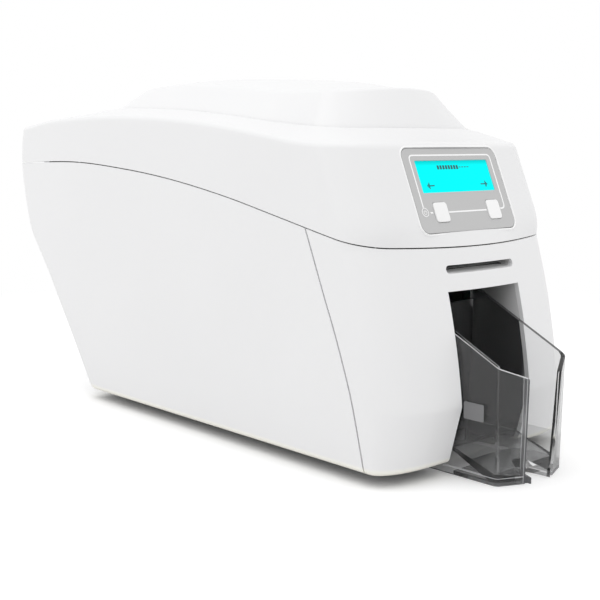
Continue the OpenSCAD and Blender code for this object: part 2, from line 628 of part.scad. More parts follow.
// Chassis and card transport. Each axis is [y, z]
roller_z = path_z - roller_r;
nip = 0.3;
exit_at = [92, roller_z];
platen_at = [118, roller_z];
feed_at = [200, roller_z];
pick_at = [262, roller_z];
gate_at = [79, path_z - 5];
exit_idler_at = [92, path_z + nip + idler_r];
feed_idler_at = [200, path_z + nip + idler_r];
cleaner_r = 8;
cleaner_at = [226, path_z + nip + cleaner_r];
takeup_at = [88, 146];
supply_at = [156, 146];
motor_at = [150, 66];
gear_r = 14.8;
pinion_r = 5.2;
mesh_depth = 0.8;
pinion_at = takeup_at - [gear_r + pinion_r - mesh_depth, 0];
head_y = platen_at[0];
plate_in = chassis_w / 2;
plate_out = plate_in + plate_t;
tray_top = tray_z + tray_t;
bush_r = shaft_r + 2.2;
shaft_axes = [exit_at, platen_at, feed_at, pick_at, gate_at, exit_idler_at, feed_idler_at, cleaner_at,
    takeup_at, supply_at];
rod_places = [[66, 30], [190, 30], [322, 96], [244, 96]];

module chassis_plate(s) {
    x0 = s > 0 ? plate_in : -plate_out;
    difference() {
        union() {
            across(x0, x0 + plate_t) polygon([[58, tray_top], [312, tray_top], [336, 52], [336, 118],
                [240, 136], [180, 160], [72, 160], [54, 152], [54, 132], [66, 104]]);
            block([s > 0 ? plate_in : -plate_out - 10, 60, tray_top],
                [s > 0 ? plate_out + 10 : -plate_in, 310, tray_top + plate_t]);
        }
        for (a = shaft_axes) bar(a, bush_r, x0 - 1, x0 + plate_t + 1);
        if (s > 0) {
            bar(motor_at, 11, x0 - 1, x0 + plate_t + 1);
            bar(pinion_at, 3, x0 - 1, x0 + plate_t + 1);
        }
    }
}
module left_chassis_plate() { color(steel) chassis_plate(-1); }
module right_chassis_plate() { color(steel) chassis_plate(1); }
module tie_rods() { color(steel) for (p = rod_places) bar(p, 3.5, -plate_in, plate_in); }

module shaft_bushes() {
    color("#e8e4d8") for (a = shaft_axes, s = [-1, 1]) {
        x = s * (plate_in + plate_t / 2);
        tube(a, bush_r, shaft_r + 0.05, x - 1.3, x + 1.3);
    }
}

guide_y = [104, 336];
guide_t = 2;
rail_in = 27.4;
module card_guide() {
    top = path_z - 0.3;
    half = plate_in;
    color(black) {
        difference() {
            block([-half, guide_y[0], top - guide_t], [half, guide_y[1], top]);
            for (a = [platen_at, feed_at, pick_at]) {
                block([-roller_len / 2 - 1.5, a[0] - roller_r - 1.2, top - 9],
                    [roller_len / 2 + 1.5, a[0] + roller_r + 1.2, top + 9]);
                for (s = [-1, 1]) bar(a, bush_r + 0.3, s * half - 1.8, s * half + 1.8);
            }
        }
        for (s = [-1, 1]) block([s * (rail_in + 1) - 1, platen_at[0] + 12, top],
            [s * (rail_in + 1) + 1, feeder_y[0] - 2, top + 2.2]);
    }
}
feeder_y = [243, 332];
feeder_top = 195;
feeder_half = 27.7;
feeder_t = 2;
module card_feeder() {
    low = path_z - 0.3;
    out = feeder_half + feeder_t;
    color(black) difference() {
        block([-out, feeder_y[0] - feeder_t, low], [out, feeder_y[1] + feeder_t, feeder_top]);
        block([-feeder_half, feeder_y[0], 0], [feeder_half, feeder_y[1], 300]);
        block([-feeder_half, feeder_y[0] - 5, 0], [feeder_half, feeder_y[0] + 5, path_z + 1.1]);
        block([-12, feeder_y[0] - 5, feeder_top - 40], [12, feeder_y[0] + 5, 300]);
    }
}
module card_gate() {
    tip = nose_y(path_z) + wall + 6;
    hub = shaft_r + 1.1;
    color(black) {
        block([-28, tip, gate_at[1] + 2.9], [28, gate_at[0] - 1, path_z - 0.3]);
        bar(gate_at, hub, -28, 28);
        bar(gate_at, shaft_r, -plate_out - 1.5, plate_out + 1.5);
    }
}

module rubber_on(at, r) { color("#3a3b3e") tube(at, r, shaft_r, -roller_len / 2, roller_len / 2); }
module driven_shaft(at) { color(steel) bar(at, shaft_r, -plate_out - 1.5, plate_out + 12.4); }
pulley_r = 8;
pulley_x = [plate_out + 4.5, plate_out + 10.9];
flange = 1.5;
module pulley(at, r, bore) {
    color("#e9e9e4") {
        tube(at, r, bore, pulley_x[0] - 1, pulley_x[1] + 1);
        for (x = [pulley_x[0] - 1, pulley_x[1]]) tube(at, r + flange, bore, x, x + 1);
    }
}
module exit_roller() { rubber_on(exit_at, roller_r); }
module platen_roller() { rubber_on(platen_at, roller_r); }
module feed_roller() { rubber_on(feed_at, roller_r); }
module pick_roller() { rubber_on(pick_at, roller_r); }
module exit_shaft() { driven_shaft(exit_at); }
module platen_shaft() { driven_shaft(platen_at); }
module feed_shaft() { driven_shaft(feed_at); }
module pick_shaft() { driven_shaft(pick_at); }
module exit_pulley() { pulley(exit_at, pulley_r, shaft_r); }
module platen_pulley() { pulley(platen_at, pulley_r, shaft_r); }
module feed_pulley() { pulley(feed_at, pulley_r, shaft_r); }
module pick_pulley() { pulley(pick_at, pulley_r, shaft_r); }

module idler(at, r) {
    bar(at, r, -26, 26);
    bar(at, shaft_r, -plate_out - 1.5, plate_out + 1.5);
}
module exit_idler() { color("#55575a") idler(exit_idler_at, idler_r); }
module feed_idler() { color("#55575a") idler(feed_idler_at, idler_r); }
module cleaning_roller() { color("#3f7fc4") idler(cleaner_at, cleaner_r); }

// Belt round the outer pulleys and the motor's, resting on the two between
belt_t = 1.4;
belt_fit = 0.05;
module belt_outline(grow) {
    hull() {
        for (a = [exit_at, pick_at]) translate(a) circle(pulley_r + grow);
        translate(motor_at) circle(motor_pulley_r + grow);
    }
}
module drive_belt() {
    color(black) across(pulley_x[0] + 0.2, pulley_x[1] - 0.2) difference() {
        belt_outline(belt_fit + belt_t);
        belt_outline(belt_fit);
    }
}

motor_size = 42;
motor_len = 36;
motor_shaft_r = 2.5;
module drive_motor() {
    m = motor_size / 2;
    color("#33343a") difference() {
        block([plate_in - motor_len, motor_at[0] - m, motor_at[1] - m],
            [plate_in, motor_at[0] + m, motor_at[1] + m]);
        bar(motor_at, motor_shaft_r + 0.05, plate_in - 12, plate_in + 1);
        for (y = [-m, m], z = [-m, m]) translate([plate_in - motor_len / 2, motor_at[0] + y, motor_at[1] + z])
            rotate([45, 0, 0]) cube([motor_len + 2, 6, 6], center = true);
    }
}
module motor_pulley() {
    pulley(motor_at, motor_pulley_r, motor_shaft_r);
    color(steel) bar(motor_at, motor_shaft_r, plate_in - 11.5, pulley_x[1] + 2);
}

// Film spools, with the take-up spool's gear and its motor
core_r = 7.5;
film_w = 60;
gear_x = [plate_out + 2, plate_out + 7];
module gear_shape(r, n, turn = 0) {
    depth = 1.2;
    pitch = 360 / n;
    polygon([for (i = [0:n - 1], c = [[-0.3, 0], [-0.14, 1], [0.14, 1], [0.3, 0]])
        let (g = (i + c[0]) * pitch + turn, q = r - depth + c[1] * depth) [q * cos(g), q * sin(g)]]);
}
module spool(at) {
    bar(at, core_r, -film_w / 2 - 1, film_w / 2 + 1);
    bar(at, shaft_r, -plate_out - 1.5, plate_out + 1.5);
}
module supply_spool() { color("#6fa8dc") spool(supply_at); }
module takeup_spool() {
    color("#6fa8dc") {
        spool(takeup_at);
        bar(takeup_at, shaft_r, 0, gear_x[1]);
        across(gear_x[0], gear_x[1]) translate(takeup_at) gear_shape(gear_r, 30);
    }
}
module supply_film() { color("#5a3c78") tube(supply_at, film_r, core_r, -film_w / 2, film_w / 2); }
module takeup_film() { color("#33343a") tube(takeup_at, takeup_r, core_r, -film_w / 2, film_w / 2); }
pinion_shaft_r = 1.5;
module takeup_motor() {
    color(steel) difference() {
        bar(pinion_at, 9, plate_in - 24, plate_in);
        bar(pinion_at, pinion_shaft_r + 0.05, plate_in - 8, plate_in + 1);
    }
}
module takeup_pinion() {
    color("#e9e9e4") {
        across(gear_x[0], gear_x[1]) translate(pinion_at) gear_shape(pinion_r, 10, 18);
        bar(pinion_at, pinion_shaft_r, plate_in - 7.5, gear_x[1]);
    }
}

// Print head, hanging from the lid's frame between the spools, and free to lift
head_lift = 3;
head_pin_r = 2;
head_pin_z = 142;
cheek_in = 36;
cheek_t = 1.5;
module head_bracket() {
    color(steel) {
        block([-cheek_in - cheek_t, head_y - 11, frame_z - cheek_t], [cheek_in + cheek_t, head_y + 11, frame_z]);
        for (s = [-1, 1]) difference() {
            block([s * (cheek_in + cheek_t / 2) - cheek_t / 2, head_y - 9, 132],
                [s * (cheek_in + cheek_t / 2) + cheek_t / 2, head_y + 9, frame_z]);
            for (z = [0, head_lift]) bar([head_y, head_pin_z + z], head_pin_r + 0.05, -50, 50);
            block([-50, head_y - head_pin_r - 0.15, head_pin_z], [50, head_y + head_pin_r + 0.05, head_pin_z + head_lift]);
        }
    }
}
module print_head() {
    half = 32.5;
    color("#b9bcc2") {
        difference() {
            block([-half, head_y - 6, 123], [half, head_y + 6, 152]);
            for (y = [-3.6, 0, 3.6]) block([-half - 1, head_y + y - 0.9, 134], [half + 1, head_y + y + 0.9, 160]);
        }
        block([-half + 2, head_y - 4, path_z + 0.5], [half - 2, head_y + 4, 123]);
        for (s = [-1, 1]) block([s * (half - 1) - 1, head_y - 6, 134], [s * (half - 1) + 1, head_y + 6, 150]);
        for (s = [-1, 1]) bar([head_y, head_pin_z], head_pin_r, min(s * (half - 1), s * (cheek_in + cheek_t + 0.6)),
            max(s * (half - 1), s * (cheek_in + cheek_t + 0.6)));
    }
}

// Electronics
supply_box = [76, 84, 46];
module power_supply() {
    color(steel) difference() {
        translate([-supply_box[0] / 2, 216, tray_top]) cube(supply_box);
        for (x = [-28:8:28], y = [224:8:292]) translate([x, y, tray_top + supply_box[2] - 2]) cube([4, 4, 6]);
    }
}
board_x = -plate_out - 18;
module main_board() {
    color("#1f6b3a") {
        block([board_x - 1.6, 130, 24], [board_x, 300, 106]);
        for (y = [140, 290], z = [32, 98]) bar([y, z], 3, board_x, -plate_out);
        block([board_x - 5, 150, 60], [board_x - 1.6, 178, 88]);
        block([board_x - 3.6, 192, 40], [board_x - 1.6, 214, 62]);
        for (y = [224, 244, 264]) block([board_x - 11, y, 84], [board_x - 1.6, y + 14, 98]);
        for (y = [226, 246, 266]) bar([y, 46], 5, board_x - 13, board_x - 1.6);
    }
}

// Sockets and the power switch in the rear panel
lip_y = rear_y(socket_z + 10) + 0.2;
module power_inlet() {
    x = inlet[0];
    w = inlet[1] / 2;
    h = inlet[2] / 2;
    rx = rocker[0];
    rw = rocker[1] / 2;
    rh = rocker[2] / 2;
    color(black) difference() {
        union() {
            block([x - w, lip_y - 24, socket_z - h], [x + w, lip_y + 0.1, socket_z + h]);
            block([rx - rw, lip_y - 14, socket_z - rh], [rx + rw, lip_y + 0.1, socket_z + rh]);
        }
        block([x - w + 2, lip_y - 16, socket_z - h + 2], [x + w - 2, lip_y + 5, socket_z + h - 2]);
        block([rx - rw + 1.3, lip_y - 9, socket_z - rh + 1.3], [rx + rw - 1.3, lip_y + 5, socket_z + rh - 1.3]);
        bar(switch_at, 1.05, rx - rw + 0.3, rx + rw - 0.3);
    }
    color(steel) for (p = [[-7, -2], [0, 2.5], [7, -2]])
        block([x + p[0] - 1, lip_y - 17, socket_z + p[1] - 2], [x + p[0] + 1, lip_y - 4, socket_z + p[1] + 2]);
}
switch_at = [lip_y - 2, socket_z];
switch_tilt = 8;
module power_switch() {
    half = rocker[1] / 2 - 1.7;
    color(black) {
        translate([0, switch_at[0], switch_at[1]]) rotate([switch_tilt, 0, 0]) translate([0, -switch_at[0], -switch_at[1]])
            block([rocker[0] - half, lip_y - 5, socket_z - 7.2], [rocker[0] + half, lip_y + 1, socket_z + 7.2]);
        bar(switch_at, 1, rocker[0] - half - 0.8, rocker[0] + half + 0.8);
    }
}
module data_sockets() {
    color(steel) for (s = [usb, network]) difference() {
        block([s[0] - s[1] / 2, socket_y - 16, socket_z - s[2] / 2],
            [s[0] + s[1] / 2, socket_y + 0.5, socket_z + s[2] / 2]);
        block([s[0] - s[1] / 2 + 1.8, socket_y - 11, socket_z - s[2] / 2 + 1.8],
            [s[0] + s[1] / 2 - 1.8, socket_y + 5, socket_z + s[2] / 2 - 1.8]);
    }
}

place() base_tray();
place() rubber_feet();
place() left_side_cover();
place() right_side_cover();
place() front_cover();
place() rear_panel();
place() chute_liner();
place() chute_back();
place() card_hopper();
place() hopper_label();
place() lid_cover();
place() top_cover();
place() display_panel();
place() display_screen();
place() left_button();
place() right_button();
place() panel_board();
place() lid_frame();
place() hinge_brackets();
place() hinge_leaves();
place() hinge_pins();
place() left_chassis_plate();
place() right_chassis_plate();
place() tie_rods();
place() card_guide();
place() card_feeder();
place() card_gate();
place() shaft_bushes();
place() exit_roller();
place() exit_shaft();
place() exit_pulley();
place() platen_roller();
place() platen_shaft();
place() platen_pulley();
place() feed_roller();
place() feed_shaft();
place() feed_pulley();
place() pick_roller();
place() pick_shaft();
place() pick_pulley();
place() exit_idler();
place() feed_idler();
place() cleaning_roller();
place() drive_belt();
place() drive_motor();
place() motor_pulley();
place() supply_spool();
place() supply_film();
place() takeup_spool();
place() takeup_film();
place() takeup_motor();
place() takeup_pinion();
place() head_bracket();
place() print_head();
place() power_supply();
place() main_board();
place() power_inlet();
place() data_sockets();
place() power_switch();
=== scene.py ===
"""Desktop card printer: white casing with a hinged lid, grey display panel and clear card hopper.

Sizes in the properties are metres. Inside the shape functions they are millimetres in the casing's
own frame: X to the right, V backwards from the nose of the front cover, Z up from the table.
"""
import math

import bmesh
import bpy
import numpy as np
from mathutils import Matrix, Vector


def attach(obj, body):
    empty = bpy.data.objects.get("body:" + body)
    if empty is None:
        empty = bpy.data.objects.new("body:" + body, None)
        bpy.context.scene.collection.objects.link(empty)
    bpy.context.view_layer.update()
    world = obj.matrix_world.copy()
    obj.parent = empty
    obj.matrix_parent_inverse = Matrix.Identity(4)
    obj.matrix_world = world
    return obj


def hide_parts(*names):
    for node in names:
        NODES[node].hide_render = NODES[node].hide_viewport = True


bl_info = {
    "name": "Card Printer",
    "version": (1, 0, 0),
    "blender": (4, 5, 0),
    "location": "View3D > Sidebar > Card Printer",
    "description": "Builds a desktop card printer's casing, panel, hopper and finishes",
    "category": "Object",
}

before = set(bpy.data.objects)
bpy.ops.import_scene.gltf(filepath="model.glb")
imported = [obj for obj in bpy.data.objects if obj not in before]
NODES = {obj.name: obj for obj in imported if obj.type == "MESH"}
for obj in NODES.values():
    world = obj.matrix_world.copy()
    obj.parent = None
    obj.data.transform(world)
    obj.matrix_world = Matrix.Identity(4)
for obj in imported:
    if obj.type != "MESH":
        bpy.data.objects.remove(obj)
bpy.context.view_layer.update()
MIDDLE = 192.75

# Knots of the casing's curves, as [position, value]
LID_LINE = [[17, 129.2], [54, 136.2], [97, 145.1], [147, 155.2],
            [204, 164.2], [258, 169.9], [324, 173.9], [405, 172.4]]
LID_EDGE = [[42, 188.2], [80, 190], [107, 193.7], [158, 200.5], [215, 205.1], [279, 207.3],
            [354, 205.6], [398, 200.7]]
HUMP_LINE = [[70, 196.3], [110, 199], [158, 204.4], [211, 209.1], [276, 211.9], [309, 212.3]]
HUMP_SIDE = [[87, 217.6], [115, 217.8], [145, 220.2], [186, 224.2],
             [230, 226.4], [271, 225.6], [300, 221]]
HUMP_MIDDLE = [[87, 220.5], [119, 225.8], [160, 228.8], [210, 231.1], [255, 231], [300, 224.8]]
REAR_LINE = [[9, 0.772], [38.4, 0.8227], [60.7, 0.8622], [88, 0.9093], [105.5, 0.944],
             [120.4, 0.972], [140, 0.9882], [165, 0.9995], [179, 1], [200, 0.9893], [210, 0.975]]
CHEEK_LINE = [[8.3, 25.8], [31.7, 31.8], [50.3, 37.1], [82.2, 49.2], [101, 57.5], [140.3, 74.2]]

BODY_LENGTH = 414.5
HALF = 83.0
WALL = 3.0
SEAM = 0.7
CHEEK_SEAM = 1.2
BASE = 7.4
BEND = 41.7
FRONT_CORNER = 25.0
REAR_CORNER = 14.0
FOOT_Y = 9.1
FOOT_CORNER = (33.0, 14.0)
FOOT_ROUND = 3.0
OPENING_HALF = 31.65
OPENING_TOP = 105.4
LID_ROUND = 4.0
HUMP_HALF = 66.0
HUMP_LEAN = 15.0
HUMP_WAIST = 5.0
HUMP_BOW = 23.0
LEDGE = 1.6
REAR_HALF = HALF - REAR_CORNER - 7
SLOT_HALF = 30.0
SLOT_MIDDLE = 117.0
SLOT_TOP = 119.7
SOCKETS_Z = 136
HINGE_X = 42
HINGE_WIDTH = 27.8
HINGE_PLAY = 0.8
NOTCH_FLOOR = 410.2
BEHIND = 430
ROOF_MIDDLE = 190.0
LID_FOOT_Y = 17
LID_FOOT_Z = 129.2
PANEL_FOOT = 137.3
PANEL_WIDTH = 84
PANEL_HEIGHT = 51.7
PANEL_CORNER = 6
PANEL_COSINE = 0.922
SLOPE = 0.4193
PRINT_LOW = -0.02
PRINT_HIGH = 0.14
SCREEN_S = 34.1
KEYS = ((-22.0, 12.4), (25.0, 12.3))
FEET_X = (-55, 55)
FEET_Y = (52, 289.2)

# The hopper: half its width, how far each wall draws in towards the table, the height of the
# crease between wall and lip, the rounding of the lips' tips, the crease's and the chute mouth's
# places in depth, both in metres of the row frame, and the slope of the walls' upper edge
HOPPER_HALF = 31.0
HOPPER_TAPER = 1.0
HOPPER_KNEE = 67.5
TIP_ROUND = 1.3
KNEE_DEPTH = (MIDDLE + 24) / 1000
MOUTH_DEPTH = -MIDDLE / 1000
RIM_RISE = 0.4964

# Steps of a cover's rows between its last plain row and the lid's seam
SEAM_ROWS = np.linspace(0, 1, 12)[1:]

# The studio's floor in metres, and the rays that see it and the world bright
FLOOR_HALF = 30
SEEN_RAYS = ("Is Camera Ray", "Is Transmission Ray", "Is Glossy Ray")


class CasingSizes(bpy.types.PropertyGroup):
    """Sizes of the white covers' edges"""

    edge_round: bpy.props.FloatProperty(
        name="Edge Rounding", description="Rounding of the covers' moulded edges", default=0.00028,
        min=0.0001, max=0.001, unit="LENGTH", precision=5)
    roof_round: bpy.props.FloatProperty(
        name="Roof Rounding", description="Rounding along the top cover's upper edge",
        default=0.0022, min=0.001, max=0.008, unit="LENGTH", precision=4)
    columns: bpy.props.IntProperty(
        name="Columns", description="Mesh columns round each cover's half", default=96,
        min=40, max=200)


class PanelSizes(bpy.types.PropertyGroup):
    """Sizes of the display panel"""

    width: bpy.props.FloatProperty(
        name="Width", description="Width of the grey panel", default=0.084,
        unit="LENGTH", precision=4)
    height: bpy.props.FloatProperty(
        name="Height", description="Height of the grey panel up the slope", default=0.0517,
        unit="LENGTH", precision=4)
    corner: bpy.props.FloatProperty(
        name="Corner", description="Radius of the panel's corners", default=0.006,
        unit="LENGTH", precision=4)
    line: bpy.props.FloatProperty(
        name="Line", description="Width of the printed line", default=0.0009,
        unit="LENGTH", precision=5)


class HopperSizes(bpy.types.PropertyGroup):
    """Sizes of the clear card hopper"""

    wall: bpy.props.FloatProperty(
        name="Wall", description="Thickness of the hopper's walls", default=0.0025,
        unit="LENGTH", precision=4)
    crease: bpy.props.FloatProperty(
        name="Crease", description="Radius of the bend between wall and lip", default=0.004,
        unit="LENGTH", precision=4)


class Finishes(bpy.types.PropertyGroup):
    """Colours of the printer's materials"""

    casing: bpy.props.FloatVectorProperty(
        name="Casing", description="White of the moulded covers", subtype="COLOR", size=3,
        default=(0.83, 0.83, 0.835), min=0, max=1)
    panel: bpy.props.FloatVectorProperty(
        name="Panel", description="Grey of the display panel", subtype="COLOR", size=3,
        default=(0.53, 0.53, 0.53), min=0, max=1)
    window: bpy.props.FloatVectorProperty(
        name="Window", description="Lit colour of the display", subtype="COLOR", size=3,
        default=(0.0, 1.0, 1.0), min=0, max=1)
    smoke: bpy.props.FloatVectorProperty(
        name="Smoke", description="Tint of the clear hopper", subtype="COLOR", size=3,
        default=(0.86, 0.865, 0.87), min=0, max=1)


class StageSettings(bpy.types.PropertyGroup):
    """Light and camera of the studio"""

    world_light: bpy.props.FloatProperty(
        name="World Light", description="Strength of the even light from all round", default=1.02,
        min=0, max=2)
    top_light: bpy.props.FloatProperty(
        name="Top Light", description="Power of the lamp overhead", default=3.1, min=0, max=200,
        subtype="POWER", unit="POWER")
    side_light: bpy.props.FloatProperty(
        name="Side Light", description="Power of the lamp on the left", default=1.8, min=0, max=200,
        subtype="POWER", unit="POWER")


def placed(points):
    """Millimetres in the casing's frame to metres in the row frame."""
    return (np.asarray(points, float) - (0.0, MIDDLE, 0.0)) * 0.001


def mix(a, b, t):
    """Straight mix from a at t = 0 to b at t = 1."""
    return a + (b - a) * t


def through(knots, x):
    """Cubic Hermite curve through the knots, each with the slope of its neighbours' chord."""
    k = np.asarray(knots, float)
    px, py = k[:, 0], k[:, 1]
    i = np.clip(np.searchsorted(px, x, side="right") - 1, 0, len(px) - 2)
    here = np.arange(len(px))
    before, after = np.clip(here - 1, 0, None), np.clip(here + 1, None, len(px) - 1)
    slope = (py[after] - py[before]) / (px[after] - px[before])
    h = px[i + 1] - px[i]
    t = np.clip((x - px[i]) / h, 0, 1)
    m0, m1, rise = slope[i] * h, slope[i + 1] * h, py[i + 1] - py[i]
    return py[i] + t * (m0 + t * (3 * rise - 2 * m0 - m1 + t * (m0 + m1 - 2 * rise)))


def smoothstep(x):
    """Three x squared less two x cubed, between 0 and 1."""
    x = np.clip(x, 0, 1)
    return x * x * (3 - 2 * x)


def above(x, soft):
    """Half of x plus the root of x squared and soft squared: 0 below, x above, a soft knee."""
    return 0.5 * (x + np.sqrt(x * x + soft * soft))


def nose(z):
    """V of the front on the centre plane: a parabola above the bend, into the panel's slope."""
    u = above(z - BEND, 0.8)
    cover = -1.9 + 0.1072 * u + 0.001224 * u * u
    lid = LID_FOOT_Y + SLOPE * (z - LID_FOOT_Z)
    return mix(cover, lid, smoothstep((z - 126) / 7))


def bow(z):
    """Radius of the front seen from above: 259 up to the lid, then flattening to 900."""
    return mix(259.0, 900.0, smoothstep((z - LID_FOOT_Z) / 20))


def corner_tilt(z):
    """Angle at which the bow meets the front corner's arc."""
    return np.arcsin((HALF - FRONT_CORNER) / (bow(z) - FRONT_CORNER))


def bow_point(x, z, d):
    """V of the bowed front at x: the nose plus the bow's rise, pulled in by d."""
    r = bow(z) - d
    return nose(z) + d + r - np.sqrt(r * r - x * x)


def corner_point(t, z, d):
    """Arc of the front corner from the bow at t = 0 to the side at t = 1."""
    big, tilt, r = bow(z), corner_tilt(z), FRONT_CORNER - d
    a = mix(tilt, math.pi / 2, t)
    return (HALF - FRONT_CORNER + r * np.sin(a),
            nose(z) + big - (big - FRONT_CORNER) * np.cos(tilt) - r * np.cos(a))


def foot_at(x, d):
    """V of the foot line: straight, with drawn-out elliptical corners."""
    t = np.clip((np.abs(x) - HALF + FOOT_CORNER[0]) / (FOOT_CORNER[0] - d), 0, 1)
    return FOOT_Y + d + (FOOT_CORNER[1] - d) * (1 - np.sqrt(1 - t * t))


def tuck(z):
    """How far a height lies from the bend, 0, to the lower edge, 1."""
    return np.clip(above(BEND - z, 0.8) / (BEND - BASE), 0, 1)


def under_bend(x, y, z, d):
    """Below the bend the front is ruled straight back to the foot line."""
    return mix(y, foot_at(x, d), tuck(z))


def corner_end(z):
    """V at which the front corner ends and the flat side begins."""
    at_bend = corner_point(1.0, np.maximum(z, BEND), 0.0)[1]
    return mix(at_bend, FOOT_Y + FOOT_CORNER[1], np.clip((BEND - z) / (BEND - BASE), 0, 1))


def rear(z):
    """V of the rear wall at each height."""
    return through(REAR_LINE, z) * BODY_LENGTH


def outline(u, z, d):
    """Point of the casing at height z, pulled in by d. The size of u is 0 to 1 across half the
    front, to 2 round its corner, to 3 along the side, to 4 round the rear corner and to 5 across
    the rear."""
    u, z, d = np.broadcast_arrays(np.asarray(u, float), z, d)
    m = np.abs(u)
    x1 = np.clip(m, 0, 1) * (bow(z) - d) * np.sin(corner_tilt(z))
    y1 = under_bend(x1, bow_point(x1, z, d), z, d)
    x2, y2 = corner_point(np.clip(m - 1, 0, 1), z, d)
    y2 = under_bend(x2, y2, z, d)
    back = rear(z) - REAR_CORNER
    y3 = mix(corner_end(z), back, np.clip(m - 2, 0, 1))
    a, r = np.clip(m - 3, 0, 1) * math.pi / 2, REAR_CORNER - d
    x4, y4 = HALF - REAR_CORNER + r * np.cos(a), back + r * np.sin(a)
    parts = [m <= 1, m <= 2, m <= 3, m <= 4]
    x = np.select(parts, [x1, x2, HALF - d, x4], (HALF - REAR_CORNER) * (5 - m))
    y = np.select(parts, [y1, y2, y3, y4], rear(z) - d)
    return np.stack([np.sign(u) * x, y, z], axis=-1)


def meet(knots, shift, place, start, rounds=12):
    """Heights at which the points place(z) reach a curve of heights over V, moved by shift: z is
    set to the curve's height at its own point again and again until it settles."""
    z = start
    for _ in range(rounds):
        z = through(knots, place(z)[..., 1]) + shift
    return z


def spans(*stretches):
    """Values through stretches of (start, end, count), with the ends that they share kept once."""
    return np.concatenate([np.linspace(*stretch)[k > 0:] for k, stretch in enumerate(stretches)])


def cover_grids(columns, c, heights, start, rounds=12):
    """Outer and inner grid of a cover: a quarter circle for its lower edge, rows at the heights,
    and eleven more up to the lid's seam."""
    turn = np.radians(np.linspace(0, 90, 7))
    low = [(BASE + FOOT_ROUND * (1 - np.cos(t)), FOOT_ROUND * (1 - np.sin(t))) for t in turn]
    low += [(z, 0.0) for z in heights]
    top = meet(LID_LINE, -SEAM / 2, lambda z: columns(c, z, 0.0), np.full(c.shape, start), rounds)
    return [np.stack([columns(c, z, d + inset) for z, d in low]
                     + [columns(c, mix(heights[-1], top, t), inset) for t in SEAM_ROWS])
            for inset in (0.0, WALL)]


def skin(outer, inner, ring=False, keep=None, tips=None):
    """Closed sheet between an outer and an inner grid of points: quads on both faces, and quads
    between them along each edge of the kept cells. With tips the last row closes on two points."""
    rows, cols = outer.shape[:2]
    n = rows * cols
    ids = np.arange(n).reshape(rows, cols)
    width = cols if ring else cols - 1
    right = np.roll(ids, -1, axis=1)
    a, b, e, f = ids[:-1, :width], right[:-1, :width], right[1:, :width], ids[1:, :width]
    keep = np.ones(a.shape, bool) if keep is None else keep
    padded = np.pad(keep, ((1, 1), (0, 0)))
    side = np.pad(keep, ((0, 0), (1, 1)), mode="wrap" if ring else "constant")

    def quads(mask, *corners):
        return np.stack([c[mask] for c in corners], axis=1)

    top_open = keep & ~padded[2:]
    if tips is not None:
        top_open[-1] = False
    faces = np.concatenate([
        quads(keep, a, b, e, f), quads(keep, a + n, f + n, e + n, b + n),
        quads(keep & ~padded[:-2], b, a, a + n, b + n), quads(top_open, f, e, e + n, f + n),
        quads(keep & ~side[:, :-2], a, f, f + n, a + n),
        quads(keep & ~side[:, 2:], e, b, b + n, e + n)])
    points = [outer.reshape(-1, 3), inner.reshape(-1, 3)]
    triangles = []
    if tips is not None:
        points.append(np.asarray(tips, float).reshape(2, 3))
        last = ids[-1]
        after = np.roll(last, -1)
        triangles = np.concatenate([
            np.stack([last, after, np.full(cols, 2 * n)], axis=1),
            np.stack([after + n, last + n, np.full(cols, 2 * n + 1)], axis=1)]).tolist()
    return np.concatenate(points), faces.tolist() + triangles


def prism(profile, lo, hi, axis):
    """Closed prism: a flat outline of the other two axes carried along one from lo to hi."""
    p = np.asarray(profile, float)
    n = len(p)
    ends = [np.insert(p, axis, value, axis=1) for value in (lo, hi)]
    i = np.arange(n)
    j = (i + 1) % n
    walls = np.stack([i, j, j + n, i + n], axis=1).tolist()
    return np.concatenate(ends), walls + [list(range(n))[::-1], list(range(n, 2 * n))]


def new_mesh(name, points, faces):
    """Mesh from points in the casing's millimetres, with unused points dropped."""
    used = np.unique(np.concatenate([np.asarray(f) for f in faces]))
    order = np.full(len(points), -1)
    order[used] = np.arange(len(used))
    mesh = bpy.data.meshes.new(name)
    mesh.from_pydata(placed(points)[used].tolist(), [], [[int(order[i]) for i in f] for f in faces])
    mesh.update()
    return mesh


def outward(mesh):
    """Merges doubles and turns every face of a closed mesh outwards."""
    work = bmesh.new()
    work.from_mesh(mesh)
    bmesh.ops.remove_doubles(work, verts=work.verts, dist=1e-6)
    bmesh.ops.recalc_face_normals(work, faces=work.faces)
    work.to_mesh(mesh)
    work.free()


def link(name, mesh):
    """New object at the origin that shows the mesh."""
    obj = bpy.data.objects.new(name, mesh)
    bpy.context.scene.collection.objects.link(obj)
    return obj


def apply_modifiers(obj):
    """Bakes the object's modifiers into its mesh."""
    bpy.context.view_layer.update()
    depsgraph = bpy.context.evaluated_depsgraph_get()
    mesh = bpy.data.meshes.new_from_object(obj.evaluated_get(depsgraph))
    obj.modifiers.clear()
    obj.data = mesh


def combine(obj, other, operation):
    """Boolean of obj with other, which is then removed."""
    step = obj.modifiers.new("cut", "BOOLEAN")
    step.operation = operation
    step.object = other
    step.solver = "EXACT"
    apply_modifiers(obj)
    bpy.data.objects.remove(other)


def solid(name, data):
    """Linked closed mesh with its faces outwards."""
    obj = link(name, new_mesh(name, *data))
    outward(obj.data)
    return obj


def shell(name, outer, inner, **edges):
    """Linked closed sheet between two grids of points."""
    return link(name, new_mesh(name, *skin(outer, inner, **edges)))


def cut(obj, *shapes):
    """Cuts closed shapes out of obj one after the other."""
    for shape in shapes:
        combine(obj, solid("cutter", shape), "DIFFERENCE")


